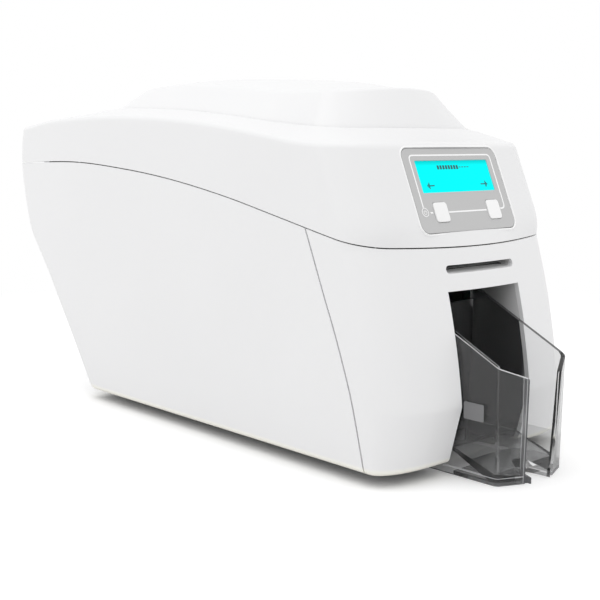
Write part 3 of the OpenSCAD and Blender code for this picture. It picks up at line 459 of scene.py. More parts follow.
def round_edges(obj, width, angle=40, segments=3):
    """Bevels the edges sharper than angle by width in metres."""
    step = obj.modifiers.new("edges", "BEVEL")
    step.width = width
    step.segments = segments
    step.limit_method = "ANGLE"
    step.angle_limit = math.radians(angle)
    step.use_clamp_overlap = True
    step.miter_outer = "MITER_ARC"
    apply_modifiers(obj)


def shade(obj, angle=35):
    """Smooth shading weighted by the faces' areas, with edges sharper than angle kept sharp."""
    obj.data.shade_smooth()
    obj.data.set_sharp_from_angle(angle=math.radians(angle))
    step = obj.modifiers.new("normals", "WEIGHTED_NORMAL")
    step.keep_sharp = True
    apply_modifiers(obj)


def hand_over(obj, material, body, slot, *replaced):
    """Gives a finished piece its material and its body, and hides the nodes it stands for. Its slot
    is not used.
    """
    obj.data.materials.clear()
    obj.data.materials.append(material)
    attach(obj, body)
    if replaced:
        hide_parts(*replaced)


class Number:
    """A number in the shader tree. Each operator adds one Math node."""

    def __init__(self, recipe, socket):
        self.recipe = recipe
        self.socket = socket

    def math(self, operation, *values):
        node = self.recipe.add("ShaderNodeMath", {"operation": operation}, dict(enumerate(values)))
        return Number(self.recipe, node.outputs[0])

    def __add__(self, other):
        return self.math("ADD", self, other)

    def __radd__(self, other):
        return self.math("ADD", other, self)

    def __sub__(self, other):
        return self.math("SUBTRACT", self, other)

    def __rsub__(self, other):
        return self.math("SUBTRACT", other, self)

    def __mul__(self, other):
        return self.math("MULTIPLY", self, other)

    def __rmul__(self, other):
        return self.math("MULTIPLY", other, self)

    def power(self, other):
        return self.math("POWER", self, other)

    def absolute(self):
        return self.math("ABSOLUTE", self)

    def fraction(self):
        return self.math("FRACT", self)

    def over(self, other):
        return self.math("GREATER_THAN", self, other)

    def under(self, other):
        return self.math("LESS_THAN", self, other)

    def most(self, other):
        return self.math("MAXIMUM", self, other)

    def least(self, other):
        return self.math("MINIMUM", self, other)

    def ramp(self, low, high, to_low=0.0, to_high=1.0):
        node = self.recipe.add("ShaderNodeMapRange", {"interpolation_type": "SMOOTHSTEP"}, {
            "Value": self, "From Min": low, "From Max": high, "To Min": to_low, "To Max": to_high})
        return Number(self.recipe, node.outputs[0])


class NodeTree:
    """The node tree of a material or the world under construction."""

    def __init__(self, owner, output):
        owner.use_nodes = True
        self.tree = owner.node_tree
        self.tree.nodes.clear()
        self.output = self.add(output)

    def add(self, kind, settings=None, inputs=None):
        """Adds a node: its settings first, then its sockets' values or links."""
        node = self.tree.nodes.new(kind)
        for key, value in (settings or {}).items():
            setattr(node, key, value)
        for key, value in (inputs or {}).items():
            if isinstance(value, Number):
                value = value.socket
            if isinstance(value, bpy.types.NodeSocket):
                self.tree.links.new(value, node.inputs[key])
            else:
                node.inputs[key].default_value = value
        return node

    def show(self, node):
        """Makes a shader node the tree's surface."""
        self.tree.links.new(node.outputs[0], self.output.inputs[0])

    def rays(self, *kinds):
        """1 for a ray of the kinds, named as Light Path's sockets are, and 0 for another."""
        paths = self.add("ShaderNodeLightPath")
        masks = [Number(self, paths.outputs[kind]) for kind in kinds]
        found = masks[0]
        for mask in masks[1:]:
            found = found.most(mask)
        return found


class Recipe(NodeTree):
    """A material under construction."""

    def __init__(self, name):
        self.material = bpy.data.materials.new(name)
        super().__init__(self.material, "ShaderNodeOutputMaterial")
        self.place = self.add("ShaderNodeTexCoord").outputs["Object"]
        split = self.add("ShaderNodeSeparateXYZ", inputs={0: self.place})
        self.x, self.y, self.z = (Number(self, socket) for socket in split.outputs)

    def noise(self, scale, detail=3.0, rough=0.5, vector=None):
        node = self.add("ShaderNodeTexNoise", inputs={
            "Vector": vector or self.place, "Scale": scale, "Detail": detail, "Roughness": rough})
        return Number(self, node.outputs["Fac"])

    def stretched(self, x, y, z):
        inputs = {"Vector": self.place, "Scale": (x, y, z)}
        return self.add("ShaderNodeMapping", inputs=inputs).outputs[0]

    def blend(self, factor, first, second):
        node = self.add("ShaderNodeMix", {"data_type": "RGBA"}, {0: factor, 6: first, 7: second})
        return node.outputs[2]

    def bump(self, height, distance, strength=1.0, normal=None):
        inputs = {"Height": height, "Distance": distance, "Strength": strength}
        if normal is not None:
            inputs["Normal"] = normal
        return self.add("ShaderNodeBump", inputs=inputs).outputs[0]

    def finish(self, **sockets):
        """Principled surface with the given sockets, their spaces written as underscores."""
        inputs = {key.replace("_", " "): value for key, value in sockets.items()}
        self.show(self.add("ShaderNodeBsdfPrincipled", inputs=inputs))
        return self.material


def grey(value):
    """Opaque grey."""
    return (value, value, value, 1.0)


def tone(colour, factor=1.0, lift=0.0):
    """Opaque colour, times a factor and plus a lift."""
    return (*[min(1.0, c * factor + lift) for c in colour], 1.0)


def moulded(name, colour, rough, grain=0.00001, size=1400.0, coat=0.0):
    """Moulded plastic: spark-eroded grain as fine noise bump, and slow drifts of tone and gloss."""
    r = Recipe(name)
    drift = r.noise(9.0, 2.0)
    fine = r.noise(size, 2.0, 0.6)
    return r.finish(
        Base_Color=r.blend(drift.ramp(0.35, 0.65), tone(colour, 0.965), tone(colour)),
        Roughness=(rough - 0.05) + r.noise(60.0, 3.0) * 0.06 + fine * 0.05,
        Coat_Weight=coat, Coat_Roughness=0.15,
        Normal=r.bump(fine, grain))


def casing_white(colour):
    """Satin white casing plastic: faint grain, slow waviness of the moulding and a warm pale
    painted reflection along the rounded lower edge."""
    r = Recipe("casing white")
    fine = r.noise(1700.0, 2.0, 0.55)
    sink = r.noise(14.0, 1.0)
    drift = r.noise(7.0, 2.0)
    # Painted reflection: below about 9 to 12 mm the base colour turns warm pale, standing for light
    # reflected onto the rounded lower edge
    low = r.z.ramp(0.0088, 0.0122, 1.0, 0.0)
    base = r.blend(drift.ramp(0.3, 0.7), tone(colour, 0.985), tone(colour))
    painted_reflection = r.blend(low, base, (0.93, 0.915, 0.84, 1.0))
    bumped = r.bump(sink, 0.00006, 0.5)
    return r.finish(
        Base_Color=painted_reflection, Roughness=0.37 + r.noise(90.0, 2.0) * 0.05,
        Coat_Weight=0.12, Coat_Roughness=0.22,
        Normal=r.bump(fine, 0.000008, 1.0, bumped))


def chute_lining_painted_shade(colour):
    """Lining of the hopper's chute: white at the mouth, darkened to grey further in as painted
    shade, and near-black painted shadow where the hopper slides, below the line of its upper edge."""
    r = Recipe("chute lining")
    fine = r.noise(900.0, 2.0)
    # Painted shade: the white darkens to a fifth of itself over 36 mm in from the mouth
    depth = r.y.ramp(MOUTH_DEPTH, MOUTH_DEPTH + 0.036)
    white = r.blend(depth, tone(colour), tone(colour, 0.22))
    # Painted shadow: near-black below the line of the hopper's upper edge, behind the mouth
    edge = r.z - (r.y + KNEE_DEPTH) * RIM_RISE - 0.0665
    mouth = r.y.ramp(MOUTH_DEPTH - 0.001, MOUTH_DEPTH + 0.007)
    black = edge.under(0.0) * mouth
    return r.finish(Base_Color=r.blend(black, white, (0.06, 0.06, 0.062, 1.0)),
                    Roughness=0.5 + fine * 0.05, Normal=r.bump(fine, 0.00001))


def steel(name, colour, rough, along):
    """Metal with fine lines drawn along one axis: noise stretched a hundred times across it."""
    r = Recipe(name)
    spread = [1.0, 1.0, 1.0]
    spread["xyz".index(along)] = 0.02
    lines = r.noise(900.0, 2.0, 0.6, r.stretched(*spread))
    cloud = r.noise(30.0, 3.0)
    base = r.blend(cloud.ramp(0.3, 0.7), tone(colour, 0.85), tone(colour))
    return r.finish(Base_Color=base, Metallic=1.0, Normal=r.bump(lines, 0.000006),
                    Roughness=rough - 0.06 + lines * 0.12 + cloud * 0.05)


def rubber(name, colour, rough=0.75, grain=0.00003):
    """Ground rubber: rough, with a coarse grain and paler dust in it."""
    r = Recipe(name)
    coarse = r.noise(700.0, 4.0, 0.65)
    base = r.blend(coarse.ramp(0.45, 0.8), tone(colour), tone(colour, 1.8, 0.02))
    return r.finish(Base_Color=base, Roughness=rough + r.noise(40.0) * 0.1,
                    Normal=r.bump(coarse, grain))


def smoky_clear(tint):
    """Clear moulded acrylic with a grey tint, polished faces and a few hairline flow marks. The
    floor between the walls is tinted darker as painted shade, and the far wall lighter as painted
    light. Along the walls' upper edge, a straight line in height and depth, the near wall has a
    white painted highlight and the far one a dark painted line. The near lip ends in a painted
    highlight line and a painted shade line. The base plate's edge and the floor's underside take a
    diffuse film of painted light and shade. Light on its way to other surfaces passes straight
    through."""
    r = Recipe("smoky clear")
    flow = r.noise(60.0, 2.0, 0.5, r.stretched(1.0, 1.0, 0.25))
    far = r.x.over(0.0)
    # Painted shade: the floor between the walls is tinted darker. Painted light: the far wall is
    # tinted lighter than the near one
    inside = r.x.absolute().under(0.0284) * r.z.under(0.022)
    walls = r.blend(far, tone(tint), tone(tint, 0.5, 0.5))
    clear = r.add("ShaderNodeBsdfPrincipled", inputs={
        "Base Color": r.blend(inside, walls, tone(tint, 0.7)),
        "Roughness": 0.015 + flow.ramp(0.45, 0.8, 0.0, 0.03), "IOR": 1.49,
        "Transmission Weight": 1.0, "Normal": r.bump(flow, 0.000004)})
    geometry = r.add("ShaderNodeNewGeometry")
    normal = r.add("ShaderNodeSeparateXYZ", inputs={0: geometry.outputs["True Normal"]})
    up = Number(r, normal.outputs["Z"])
    depth = r.y + KNEE_DEPTH
    rim = depth.least(0.0) * 0.62 + depth.most(0.0) * RIM_RISE + 0.0675
    # Painted highlight: a white line just under the near wall's upper edge; painted shade: a dark
    # line on the far wall's upper face
    top = (r.z - rim + 0.0006).ramp(-0.0001, 0.0001) * (up.over(0.75) + far - 1.0).absolute()
    # Painted highlight: a pale line low along the near side
    foot = (r.z - 0.0053).absolute().under(0.0002) * r.x.under(-0.0105) * up.under(0.5)
    # Painted highlight and painted shade: a light line and a dark one at the near lip's tip
    lip = depth.under(-0.004)
    tip = (r.x + 0.014 + r.z * 0.037) * (lip * (1.0 - far)) - (1.0 - lip) * 0.01
    dark = tip.over(-0.0008) * (1.0 - far)
    # Painted light and shade: a diffuse film on the base plate's front edge and the floor's
    # underside, faint and pale on the near side, dark on the far side
    edge = depth.under(0.02) * r.z.under(0.0031) * up.absolute().under(0.5)
    below = inside * up.under(-0.3)
    painted_light_and_shade_film = edge.most(below) * (far * 0.4 + 0.09)
    light = tip.over(-0.0012) * (1.0 - far) - dark
    # Diffuse surface of the painted marks: white for the highlights, dark on the far side and in
    # the tip's dark line
    painted_light_surface = r.add("ShaderNodeBsdfPrincipled", inputs={
        "Base Color": r.blend(far.most(dark), (0.86, 0.87, 0.88, 1.0), (0.1, 0.1, 0.105, 1.0)),
        "Roughness": 0.3 + flow * 0.1})
    # How strongly the painted light and shade show at each point
    painted_light_mask = (top * 0.8).most(foot * 0.5).most(dark * 0.7).most(light * 0.35).most(painted_light_and_shade_film)
    both = r.add("ShaderNodeMixShader", inputs={
        0: painted_light_mask, 1: clear.outputs[0], 2: painted_light_surface.outputs[0]})
    passing = r.rays("Is Shadow Ray", "Is Diffuse Ray")
    through_air = r.add("ShaderNodeBsdfTransparent", inputs={"Color": (0.9, 0.9, 0.9, 1.0)})
    r.show(r.add("ShaderNodeMixShader", inputs={
        0: passing, 1: both.outputs[0], 2: through_air.outputs[0]}))
    return r.material


def panel_frame(x, s, n):
    """Point of the panel's frame: x across, s up the slope from its foot and n out of it."""
    x, s, n = np.broadcast_arrays(np.asarray(x, float), s, n)
    length = math.hypot(SLOPE, 1.0)
    foot = LID_FOOT_Y + SLOPE * (PANEL_FOOT - LID_FOOT_Z) + 1.0
    y, z = foot + (SLOPE * s - n) / length, PANEL_FOOT + (s + SLOPE * n) / length
    return np.stack([x, y, z], axis=-1)


def on_panel(flat, *heights):
    """Closed solid over a flat outline on the panel, through the given heights out of it."""
    return rings([panel_frame(flat[:, 0], flat[:, 1], n) for n in heights])


def lid_above_panel(x, s):
    """Height of the bowed lid over the flat panel's plane."""
    z = PANEL_FOOT + s / math.hypot(SLOPE, 1.0)
    r = bow(z)
    return (1.0 - (r - np.sqrt(r * r - x * x))) * PANEL_COSINE


def rounded(w, h, r, cx, cy, steps=8):
    """Outline of a rectangle with quarter-circle corners, anticlockwise from the right."""
    a = np.radians(np.linspace(0, 90, steps + 1))
    quarter = np.concatenate([a + k * math.pi / 2 for k in range(4)])
    sx = np.repeat([1, -1, -1, 1], steps + 1) * (w / 2 - r)
    sy = np.repeat([1, 1, -1, -1], steps + 1) * (h / 2 - r)
    return np.stack([cx + sx + r * np.cos(quarter), cy + sy + r * np.sin(quarter)], axis=1)


def rings(outlines):
    """Closed solid through a row of like outlines, each an (n, 3) ring, with flat ends."""
    grid = np.stack(outlines)
    rows, n = grid.shape[:2]
    ids = np.arange(rows * n).reshape(rows, n)
    right = np.roll(ids, -1, axis=1)
    walls = np.stack([ids[:-1], right[:-1], right[1:], ids[1:]], axis=-1).reshape(-1, 4).tolist()
    return grid.reshape(-1, 3), walls + [ids[0][::-1].tolist(), ids[-1].tolist()]


def closed_grid(grid):
    """Points and quads of a grid whose rows and columns both run round to their start."""
    rows, n = grid.shape[:2]
    ids = np.arange(rows * n).reshape(rows, n)
    right, up = np.roll(ids, -1, axis=1), np.roll(ids, -1, axis=0)
    both = np.roll(right, -1, axis=0)
    return grid.reshape(-1, 3), np.stack([ids, right, both, up], axis=-1).reshape(-1, 4).tolist()


def front_columns(c, z, d):
    """Front cover: the size of c is 0 to 1 over the opening, to 2 along the bow, to 3 round the
    corner and to 4 along the cheek to the parting line."""
    c, z, d = np.broadcast_arrays(np.asarray(c, float), z, d)
    m = np.abs(c)
    start = (bow(z) - d) * np.sin(corner_tilt(z))
    x = np.where(m <= 1, m * OPENING_HALF, mix(OPENING_HALF, start, np.clip(m - 1, 0, 1)))
    y = under_bend(x, bow_point(x, z, d), z, d)
    x2, y2 = corner_point(np.clip(m - 2, 0, 1), z, d)
    y2 = under_bend(x2, y2, z, d)
    y3 = mix(corner_end(z), through(CHEEK_LINE, z) - CHEEK_SEAM / 2, np.clip(m - 3, 0, 1))
    x = np.select([m <= 2, m <= 3], [x, x2], HALF - d)
    y = np.select([m <= 2, m <= 3], [y, y2], y3)
    return np.stack([np.sign(c) * x, y, z], axis=-1)


def stadium(half, h):
    """Outline of a slot with round ends, in X and Z round its centre."""
    a = np.linspace(-math.pi / 2, math.pi / 2, 13)
    right = np.stack([half - h / 2 + h / 2 * np.cos(a), h / 2 * np.sin(a)], axis=1)
    x = np.linspace(half - h / 2, h / 2 - half, 25)[1:-1]
    top = np.stack([x, np.full(x.shape, h / 2)], axis=1)
    return np.concatenate([right, top, -right, -top])


def slot_cutter():
    """Cutter of the hand-feed slot: a round-ended outline carried inwards along the bow."""
    return rings([slot_row(depth, h, h) for depth, h in ((3.6, 4.0), (0.0, 4.6), (-4.0, 4.6))])


def slot_row(depth, h, outer):
    """Round-ended outline at a depth behind the bowed front, with its flat top at one height."""
    flat = stadium(SLOT_HALF + (outer - h) / 2, outer)
    x, r = flat[:, 0], bow(SLOT_MIDDLE)
    y = nose(SLOT_MIDDLE) + r - np.sqrt(r * r - x * x) + depth
    return np.stack([x, y, flat[:, 1] + SLOT_TOP - h / 2], axis=1)


def slot_throat():
    """Funnel behind the hand-feed slot: its floor climbs to a card's height 13 mm in."""
    floor = ((2.4, 4.2), (3.2, 4.07), (6.0, 3.6), (9.0, 3.1), (13.0, 2.4))
    rows = [slot_row(d, h, h) for d, h in floor]
    rows += [slot_row(d, h, h + 2.4) for d, h in ((13.0, 2.4), (3.3, 4.0))]
    rows.append(slot_row(3.1, 4.1, 4.6))
    return closed_grid(np.stack(rows))


def build_front_cover(sizes, material):
    """Front cover with the hopper's opening, the bend above the foot and the hand-feed slot."""
    half = spans((0, 1, 9), (1, 2, 12), (2, 3, 20), (3, 4, 9))
    c = np.concatenate([-half[:0:-1], half])
    heights = (15, 20, 25, 30, 35, 38.5, 40.5, BEND, 43, 45, *range(50, 99, 6), OPENING_TOP)
    outer, inner = cover_grids(front_columns, c, heights, LID_FOOT_Z, 8)
    keep = np.ones((outer.shape[0] - 1, outer.shape[1] - 1), bool)
    middle = 0.5 * (np.abs(c[:-1]) + np.abs(c[1:]))
    keep[:-len(SEAM_ROWS), middle < 1] = False
    obj = shell("front_shell", outer, inner, keep=keep)
    cut(obj, slot_cutter())
    round_edges(obj, sizes.edge_round)
    shade(obj)
    hand_over(obj, material, "root", "white_casing", "front_cover")
    throat_painted_shade = solid("slot_throat", slot_throat())
    shade(throat_painted_shade)
    # The funnel is of the casing's white plastic; its grey is painted shade that darkens the slot's
    # inside
    hand_over(throat_painted_shade, moulded("throat grey", (0.6, 0.6, 0.6), 0.5), "root", "white_casing")


def side_columns(c, z, d):
    """Right side cover: c is 0 to 1 on the side, to 2 round the rear corner, to 3 on the rear."""
    c, z, d = np.broadcast_arrays(np.asarray(c, float), z, d)
    back = rear(z) - REAR_CORNER
    y1 = mix(through(CHEEK_LINE, z) + CHEEK_SEAM / 2, back, np.clip(c, 0, 1))
    a, r = np.clip(c - 1, 0, 1) * math.pi / 2, REAR_CORNER - d
    panel = REAR_HALF + SEAM / 2
    x = np.select([c <= 1, c <= 2], [HALF - d, HALF - REAR_CORNER + r * np.cos(a)],
                  mix(HALF - REAR_CORNER, panel, c - 2))
    y = np.select([c <= 1, c <= 2], [y1, back + r * np.sin(a)], rear(z) - d)
    return np.stack([x, y, z], axis=-1)


def build_side_cover(sizes, material, side):
    """Side cover: flat side with a rounded lower edge, the rear corner and the strip behind it."""
    c = spans((0, 1, sizes.columns // 2), (1, 2, 14), (2, 3, 4))
    outer, inner = cover_grids(side_columns, c, (16, 24, 32, *range(40, 111, 10)), 150.0)
    if side < 0:
        outer, inner = outer[:, ::-1] * (-1, 1, 1), inner[:, ::-1] * (-1, 1, 1)
    name = "left" if side < 0 else "right"
    obj = shell(name + "_shell", outer, inner)
    round_edges(obj, sizes.edge_round)
    shade(obj)
    hand_over(obj, material, "root", "white_casing", name + "_side_cover")


def hinge_notches():
    """Shapes of the two notches round the hinges, from the rear wall's recess out past it."""
    width = HINGE_WIDTH + 2 * HINGE_PLAY
    return [prism(rounded(width, 11, 0.5, x, 174, 3), NOTCH_FLOOR, BEHIND, axis=1)
            for x in (-HINGE_X, HINGE_X)]


def build_rear_panel(sizes, material):
    """Rear panel: the rear line carried across, cut for the sockets, hinges and cooling slots."""
    top = through(LID_LINE, BODY_LENGTH) - SEAM / 2
    z = np.concatenate([np.linspace(BASE + 1, 160, 40), [165, 169, top]])
    x = np.linspace(-REAR_HALF, REAR_HALF, 21)
    grid_x, grid_z = np.meshgrid(x[::-1], z)
    outer = np.stack([grid_x, rear(grid_z), grid_z], axis=-1)
    obj = shell("rear_shell", outer, outer - (0, WALL, 0))
    sockets = ((-40, 27.4, 20), (-14, 13.2, 19.2), (8, 12.4, 11.2), (30, 16.4, 13.8))
    holes = [rounded(w, h, 0.4, x, SOCKETS_Z, 4) for x, w, h in sockets]
    holes += [rounded(9, 4, 1.8, x, z, 4) for x in range(-49, 50, 14) for z in (64, 76)]
    cut(obj, *[prism(flat, 330, BEHIND, axis=1) for flat in holes])
    cut(obj, *hinge_notches())
    round_edges(obj, sizes.edge_round * 0.8, segments=2)
    shade(obj)
    hand_over(obj, material, "root", "white_casing", "rear_panel")


def hump_ring(u, d):
    """Ring round the top cover, leaning in by d, with the outline's u. Its front is a parabola with
    tight corners, its rear has wide ones, and a cosine squared draws a waist into each side."""
    u, d = np.broadcast_arrays(np.asarray(u, float), d)
    m = np.abs(u)
    a, rf, rr = HUMP_HALF - d, 11 - 0.4 * d, 30 - 0.4 * d
    y0, y1 = 56 + 1.1 * d, 310 - 1.2 * d
    g2, g4 = np.clip(m - 1, 0, 1) * math.pi / 2, np.clip(m - 3, 0, 1) * math.pi / 2
    x2 = np.clip(m, 0, 1) * (a - rf) + rf * np.sin(g2)
    y2 = y0 + rf - rf * np.cos(g2) + HUMP_BOW * (x2 / a) ** 2
    parts = [m <= 2, m <= 3, m <= 4]
    x = np.select(parts, [x2, a, a - rr + rr * np.cos(g4)], (5 - m) * (a - rr))
    y = np.select(parts, [y2, mix(y0 + rf + HUMP_BOW, y1 - rr, np.clip(m - 2, 0, 1)),
                          y1 - rr + rr * np.sin(g4)], y1)
    waist = HUMP_WAIST * np.cos(np.clip((y - 106) / 30, -1, 1) * math.pi / 2) ** 2 * (x / a) ** 2
    return np.sign(u) * (x - waist), y


def hump_roof(x, y):
    """Height of the roof: from the side edge's curve to the middle's, rising as a parabola in x."""
    e, m = through(HUMP_SIDE, y), through(HUMP_MIDDLE, y)
    s = x / (HUMP_HALF - HUMP_LEAN)
    return e + (m - e) * (1 - s * s)


def lip_point(u, d, drop):
    """Point on the lid's lip below the seam round the top cover."""
    x, y = hump_ring(u, d)
    return np.stack([x, y, through(HUMP_LINE, y) - drop], axis=-1)


def ring_columns(count):
    """Values of u once round, closer together in the corners."""
    right = spans((0, 1, count // 8), (1, 2, count // 5), (2, 2.25, count // 6),
                  (2.25, 3, count // 6), (3, 4, count // 6), (4, 5, count // 9))
    return np.concatenate([-right[-2:0:-1], right])


def build_lid(sizes, material):
    """Lid: side walls up to the fillet, the shoulder ruled in to the top cover, and the ledge."""
    u = ring_columns(sizes.columns * 2)
    start = np.full(u.shape, 150.0)
    foot = meet(LID_LINE, SEAM / 2, lambda z: outline(u, z, 0.0), start)
    brow = meet(LID_EDGE, -LID_ROUND, lambda z: outline(u, z, 0.0), start + 35)

    def fillet(angle, r):
        a = math.radians(angle)
        return outline(u, brow + r * math.sin(a), LID_ROUND - r * math.cos(a))

    def shoulder(t, drop):
        p = fillet(90, LID_ROUND)
        x, y = hump_ring(u, 0.0)
        seam = np.stack([x, y, through(HUMP_LINE, y)], axis=-1)
        rise = np.array([0, 0, 1.2 * t * (1 - t) - drop])
        return mix(p, seam, t) + rise

    walls = np.linspace(0, 1, 14)
    angles = np.linspace(0, 90, 9)[1:]
    inwards = np.linspace(0, 1, 12)[1:]
    outer = np.stack([outline(u, mix(foot, brow, t), 0.0) for t in walls]
                     + [fillet(a, LID_ROUND) for a in angles]
                     + [shoulder(t, 0.0) for t in inwards]
                     + [lip_point(u, 0.1, LEDGE), lip_point(u, 4.5, LEDGE)])
    inner = np.stack([outline(u, mix(foot, brow, t), WALL) for t in walls]
                     + [fillet(a, LID_ROUND - WALL) for a in angles]
                     + [shoulder(t, WALL + LEDGE * t * t) for t in inwards]
                     + [lip_point(u, 0.4, WALL + LEDGE), lip_point(u, 4.5, WALL + LEDGE)])
    obj = shell("lid_shell", outer, inner, ring=True)
    flat = rounded(PANEL_WIDTH, PANEL_HEIGHT, PANEL_CORNER, 0, PANEL_HEIGHT / 2, 10)
    cut(obj, on_panel(flat, -30.0, 30.0), *hinge_notches())
    round_edges(obj, sizes.edge_round)
    shade(obj)
    hand_over(obj, material, "lid", "white_casing", "lid_cover")


def build_top_cover(sizes, material):
    """Top cover: walls ruled inwards from the seam, an upper edge rounded as a quadratic Bezier
    curve between wall and roof, and the crowned roof drawn in to its middle."""
    u = ring_columns(sizes.columns * 2)
    turn = sizes.roof_round * 1000

    def roof(d, s=1.0):
        x, y = hump_ring(u, d)
        x, y = x * s, mix(ROOF_MIDDLE, y, s)
        return np.stack([x, y, hump_roof(x, y)], axis=-1)

    base = lip_point(u, 0.6, 0.2)
    edge = roof(HUMP_LEAN)
    length = np.linalg.norm(edge - base, axis=-1, keepdims=True)
    below = mix(edge, base, turn / length)
    beyond = roof(HUMP_LEAN + turn * 0.9)

    def bend(t):
        return (1 - t) ** 2 * below + 2 * t * (1 - t) * edge + t * t * beyond

    outer = [lip_point(u, 0.5, LEDGE), base]
    outer += [mix(base, below, t) for t in np.linspace(0, 1, 9)[1:]]
    outer += [bend(t) for t in np.linspace(0, 1, 8)[1:]]
    shares = (0.97, 0.93, 0.88, 0.8, 0.7, 0.6, 0.5, 0.4, 0.3, 0.2, 0.1)
    outer = np.stack(outer + [roof(HUMP_LEAN + turn * 0.9, s) for s in shares])

    def inward(p, drop):
        y = mix(p[..., 1], ROOF_MIDDLE, WALL / 110)
        return np.stack([p[..., 0] * 0.95, y, p[..., 2] - drop], axis=-1)

    drops = np.concatenate([[0, 0], np.linspace(0, 1.5, 8), np.linspace(1.5, WALL, 7),
                            np.full(len(shares), WALL)])
    inner = np.stack([inward(p, drop) for p, drop in zip(outer, drops)])
    inner[0], inner[1] = lip_point(u, 3.5, LEDGE), lip_point(u, 3.7, -0.4)
    middle = np.array([0, ROOF_MIDDLE, hump_roof(0.0, ROOF_MIDDLE)])
    obj = shell("top_shell", outer, inner, ring=True, tips=[middle, middle - (0, 0, WALL)])
    round_edges(obj, sizes.edge_round * 0.6, segments=2, angle=60)
    shade(obj, 45)
    hand_over(obj, material, "lid", "white_casing", "top_cover")


def hopper_plan(side, half, knee, tip, radius):
    """Plan of a hopper wall's outer face: straight forward, round the crease and along the lip,
    with the inward normals and each point's distance along it."""
    crease = np.array([side * half, knee])
    tip = np.array(tip, float)
    fore = np.array([0.0, -1.0])
    lip = (tip - crease) / np.linalg.norm(tip - crease)
    turn = math.acos(float(fore @ lip))
    reach = radius * math.tan(turn / 2)
    centre = crease - fore * reach - (side * radius, 0)
    round_crease = math.atan2(0.0, side) - side * turn * np.linspace(0, 1, 11)
    bend = centre + radius * np.stack([np.cos(round_crease), np.sin(round_crease)], axis=1)
    length = np.linalg.norm(tip - bend[-1])
    near_tip = 1 - np.sin(np.radians([0, 30, 52, 70, 83]))
    steps = np.concatenate([[0.5], 1 - TIP_ROUND / length * near_tip])
    path = np.concatenate([[[side * half, 45.5], [side * half, 10.0]], bend,
                           mix(bend[-1], tip, steps[:, None]), [tip]])
    ahead = np.concatenate([[fore, fore],
                            [(side * np.sin(t), -side * np.cos(t)) for t in round_crease],
                            np.tile(lip, (7, 1))])
    inward = side * np.stack([ahead[:, 1], -ahead[:, 0]], axis=1)
    along = np.concatenate([[0], np.cumsum(np.linalg.norm(np.diff(path, axis=0), axis=1))])
    return path, inward, along


def hopper_side(side, tip_high, tip_low, sizes):
    """One side of the hopper as rings of four points along its plan. The walls draw in towards the
    table, the upper edge falls evenly along the wall and the lip, and it is rounded at the tip."""
    wall, radius = sizes.wall * 1000, sizes.crease * 1000 * (1.5 if side > 0 else 0.7)
    high, inward, along = hopper_plan(side, HOPPER_HALF, -24.0, tip_high, radius)
    low, inward_low, _ = hopper_plan(side, HOPPER_HALF - HOPPER_TAPER, -23.6, tip_low, radius)
    knee, total = along[6], along[-1]
    top = np.where(along < knee, mix(102.0, HOPPER_KNEE, along / knee),
                   mix(HOPPER_KNEE, 61.2, (along - knee) / (total - knee)))
    end = np.clip((along - total + TIP_ROUND) / TIP_ROUND, 0, 1)
    top = top - TIP_ROUND * (1 - np.sqrt(1 - 0.99 * end * end))

    def at(z, offset):
        s = (z / HOPPER_KNEE)[:, None]
        flat = mix(low + inward_low * offset, high + inward * offset, s)
        return np.column_stack([flat, z])

    bottom = np.full(top.shape, 1.0)
    grid = np.stack([at(bottom, 0.0), at(top, 0.0), at(top, wall), at(bottom, wall)], axis=1)
    return rings(list(grid))


def build_hopper(sizes, material, label):
    """Clear hopper in one piece: two walls with turned-in lips, the back, the falling floor and the
    base plate with its finger notch."""
    hopper = solid("hopper_clear", hopper_side(-1, (-16.5, -34.3), (-14.0, -30.8), sizes))
    right = solid("hopper_right", hopper_side(1, (14.6, -33.2), (10.6, -31.4), sizes))
    inner = 28.8
    flat = rounded(2 * inner, 78.5, 0.6, 0, 53.25, 2)
    back = solid("hopper_back", prism(flat, 43.0, 45.45, axis=1))
    profile = [[45.4, 17], [8, 17], [-20, 7.6], [-33, 4.5], [-33, 1.02],
               [8, 1.02], [8, 3], [-17, 3.1], [8, 14.5], [45.4, 14.5]]
    floor = solid("hopper_floor", prism(profile, -inner, inner, axis=0))
    notch = [[-11.5, -40], [-10.5, -28], [-9.0, -19.5], [-6.5, -15.2], [-3.5, -14],
             [0, -14], [3.2, -15.2], [5.4, -19.0], [6.3, -28], [6.6, -40]]
    outside_left = [[-40, -20], [-29.2, -22.6], [-13.9, -29.6], [-11.6, -31], [-11.6, -50],
                    [-50, -50]]
    outside_right = [[40, -20], [29.2, -22.6], [10.6, -30.2], [6.5, -31], [6.5, -50], [50, -50]]
    cut(floor, *[prism(flat, -5, 60, axis=2) for flat in (notch, outside_left, outside_right)])
    for piece in (right, back, floor):
        combine(hopper, piece, "UNION")
    round_edges(hopper, 0.0004, angle=50, segments=2)
    shade(hopper, 30)
    hand_over(hopper, material, "hopper", "smoky_clear", "card_hopper")
    patch = []
    for n, i in ((-0.05, 0), (0.2, 0), (0.28, 0.16)):
        flat = rounded(14 - i, 9.8 - i, 0.8, -7.4, 40.4)
        x = HOPPER_HALF - HOPPER_TAPER * (1 - flat[:, 1] / HOPPER_KNEE) + n
        patch.append(np.column_stack([-x, flat]))
    obj = solid("blank_patch", rings(patch))
    shade(obj)
    hand_over(obj, label, "hopper", "blank_label", "hopper_label")


def arc(x, y, radius, angles):
    """Points on a circle at the angles, in degrees."""
    a = np.radians(angles)
    return np.stack([x + radius * np.cos(a), y + radius * np.sin(a)], axis=1)


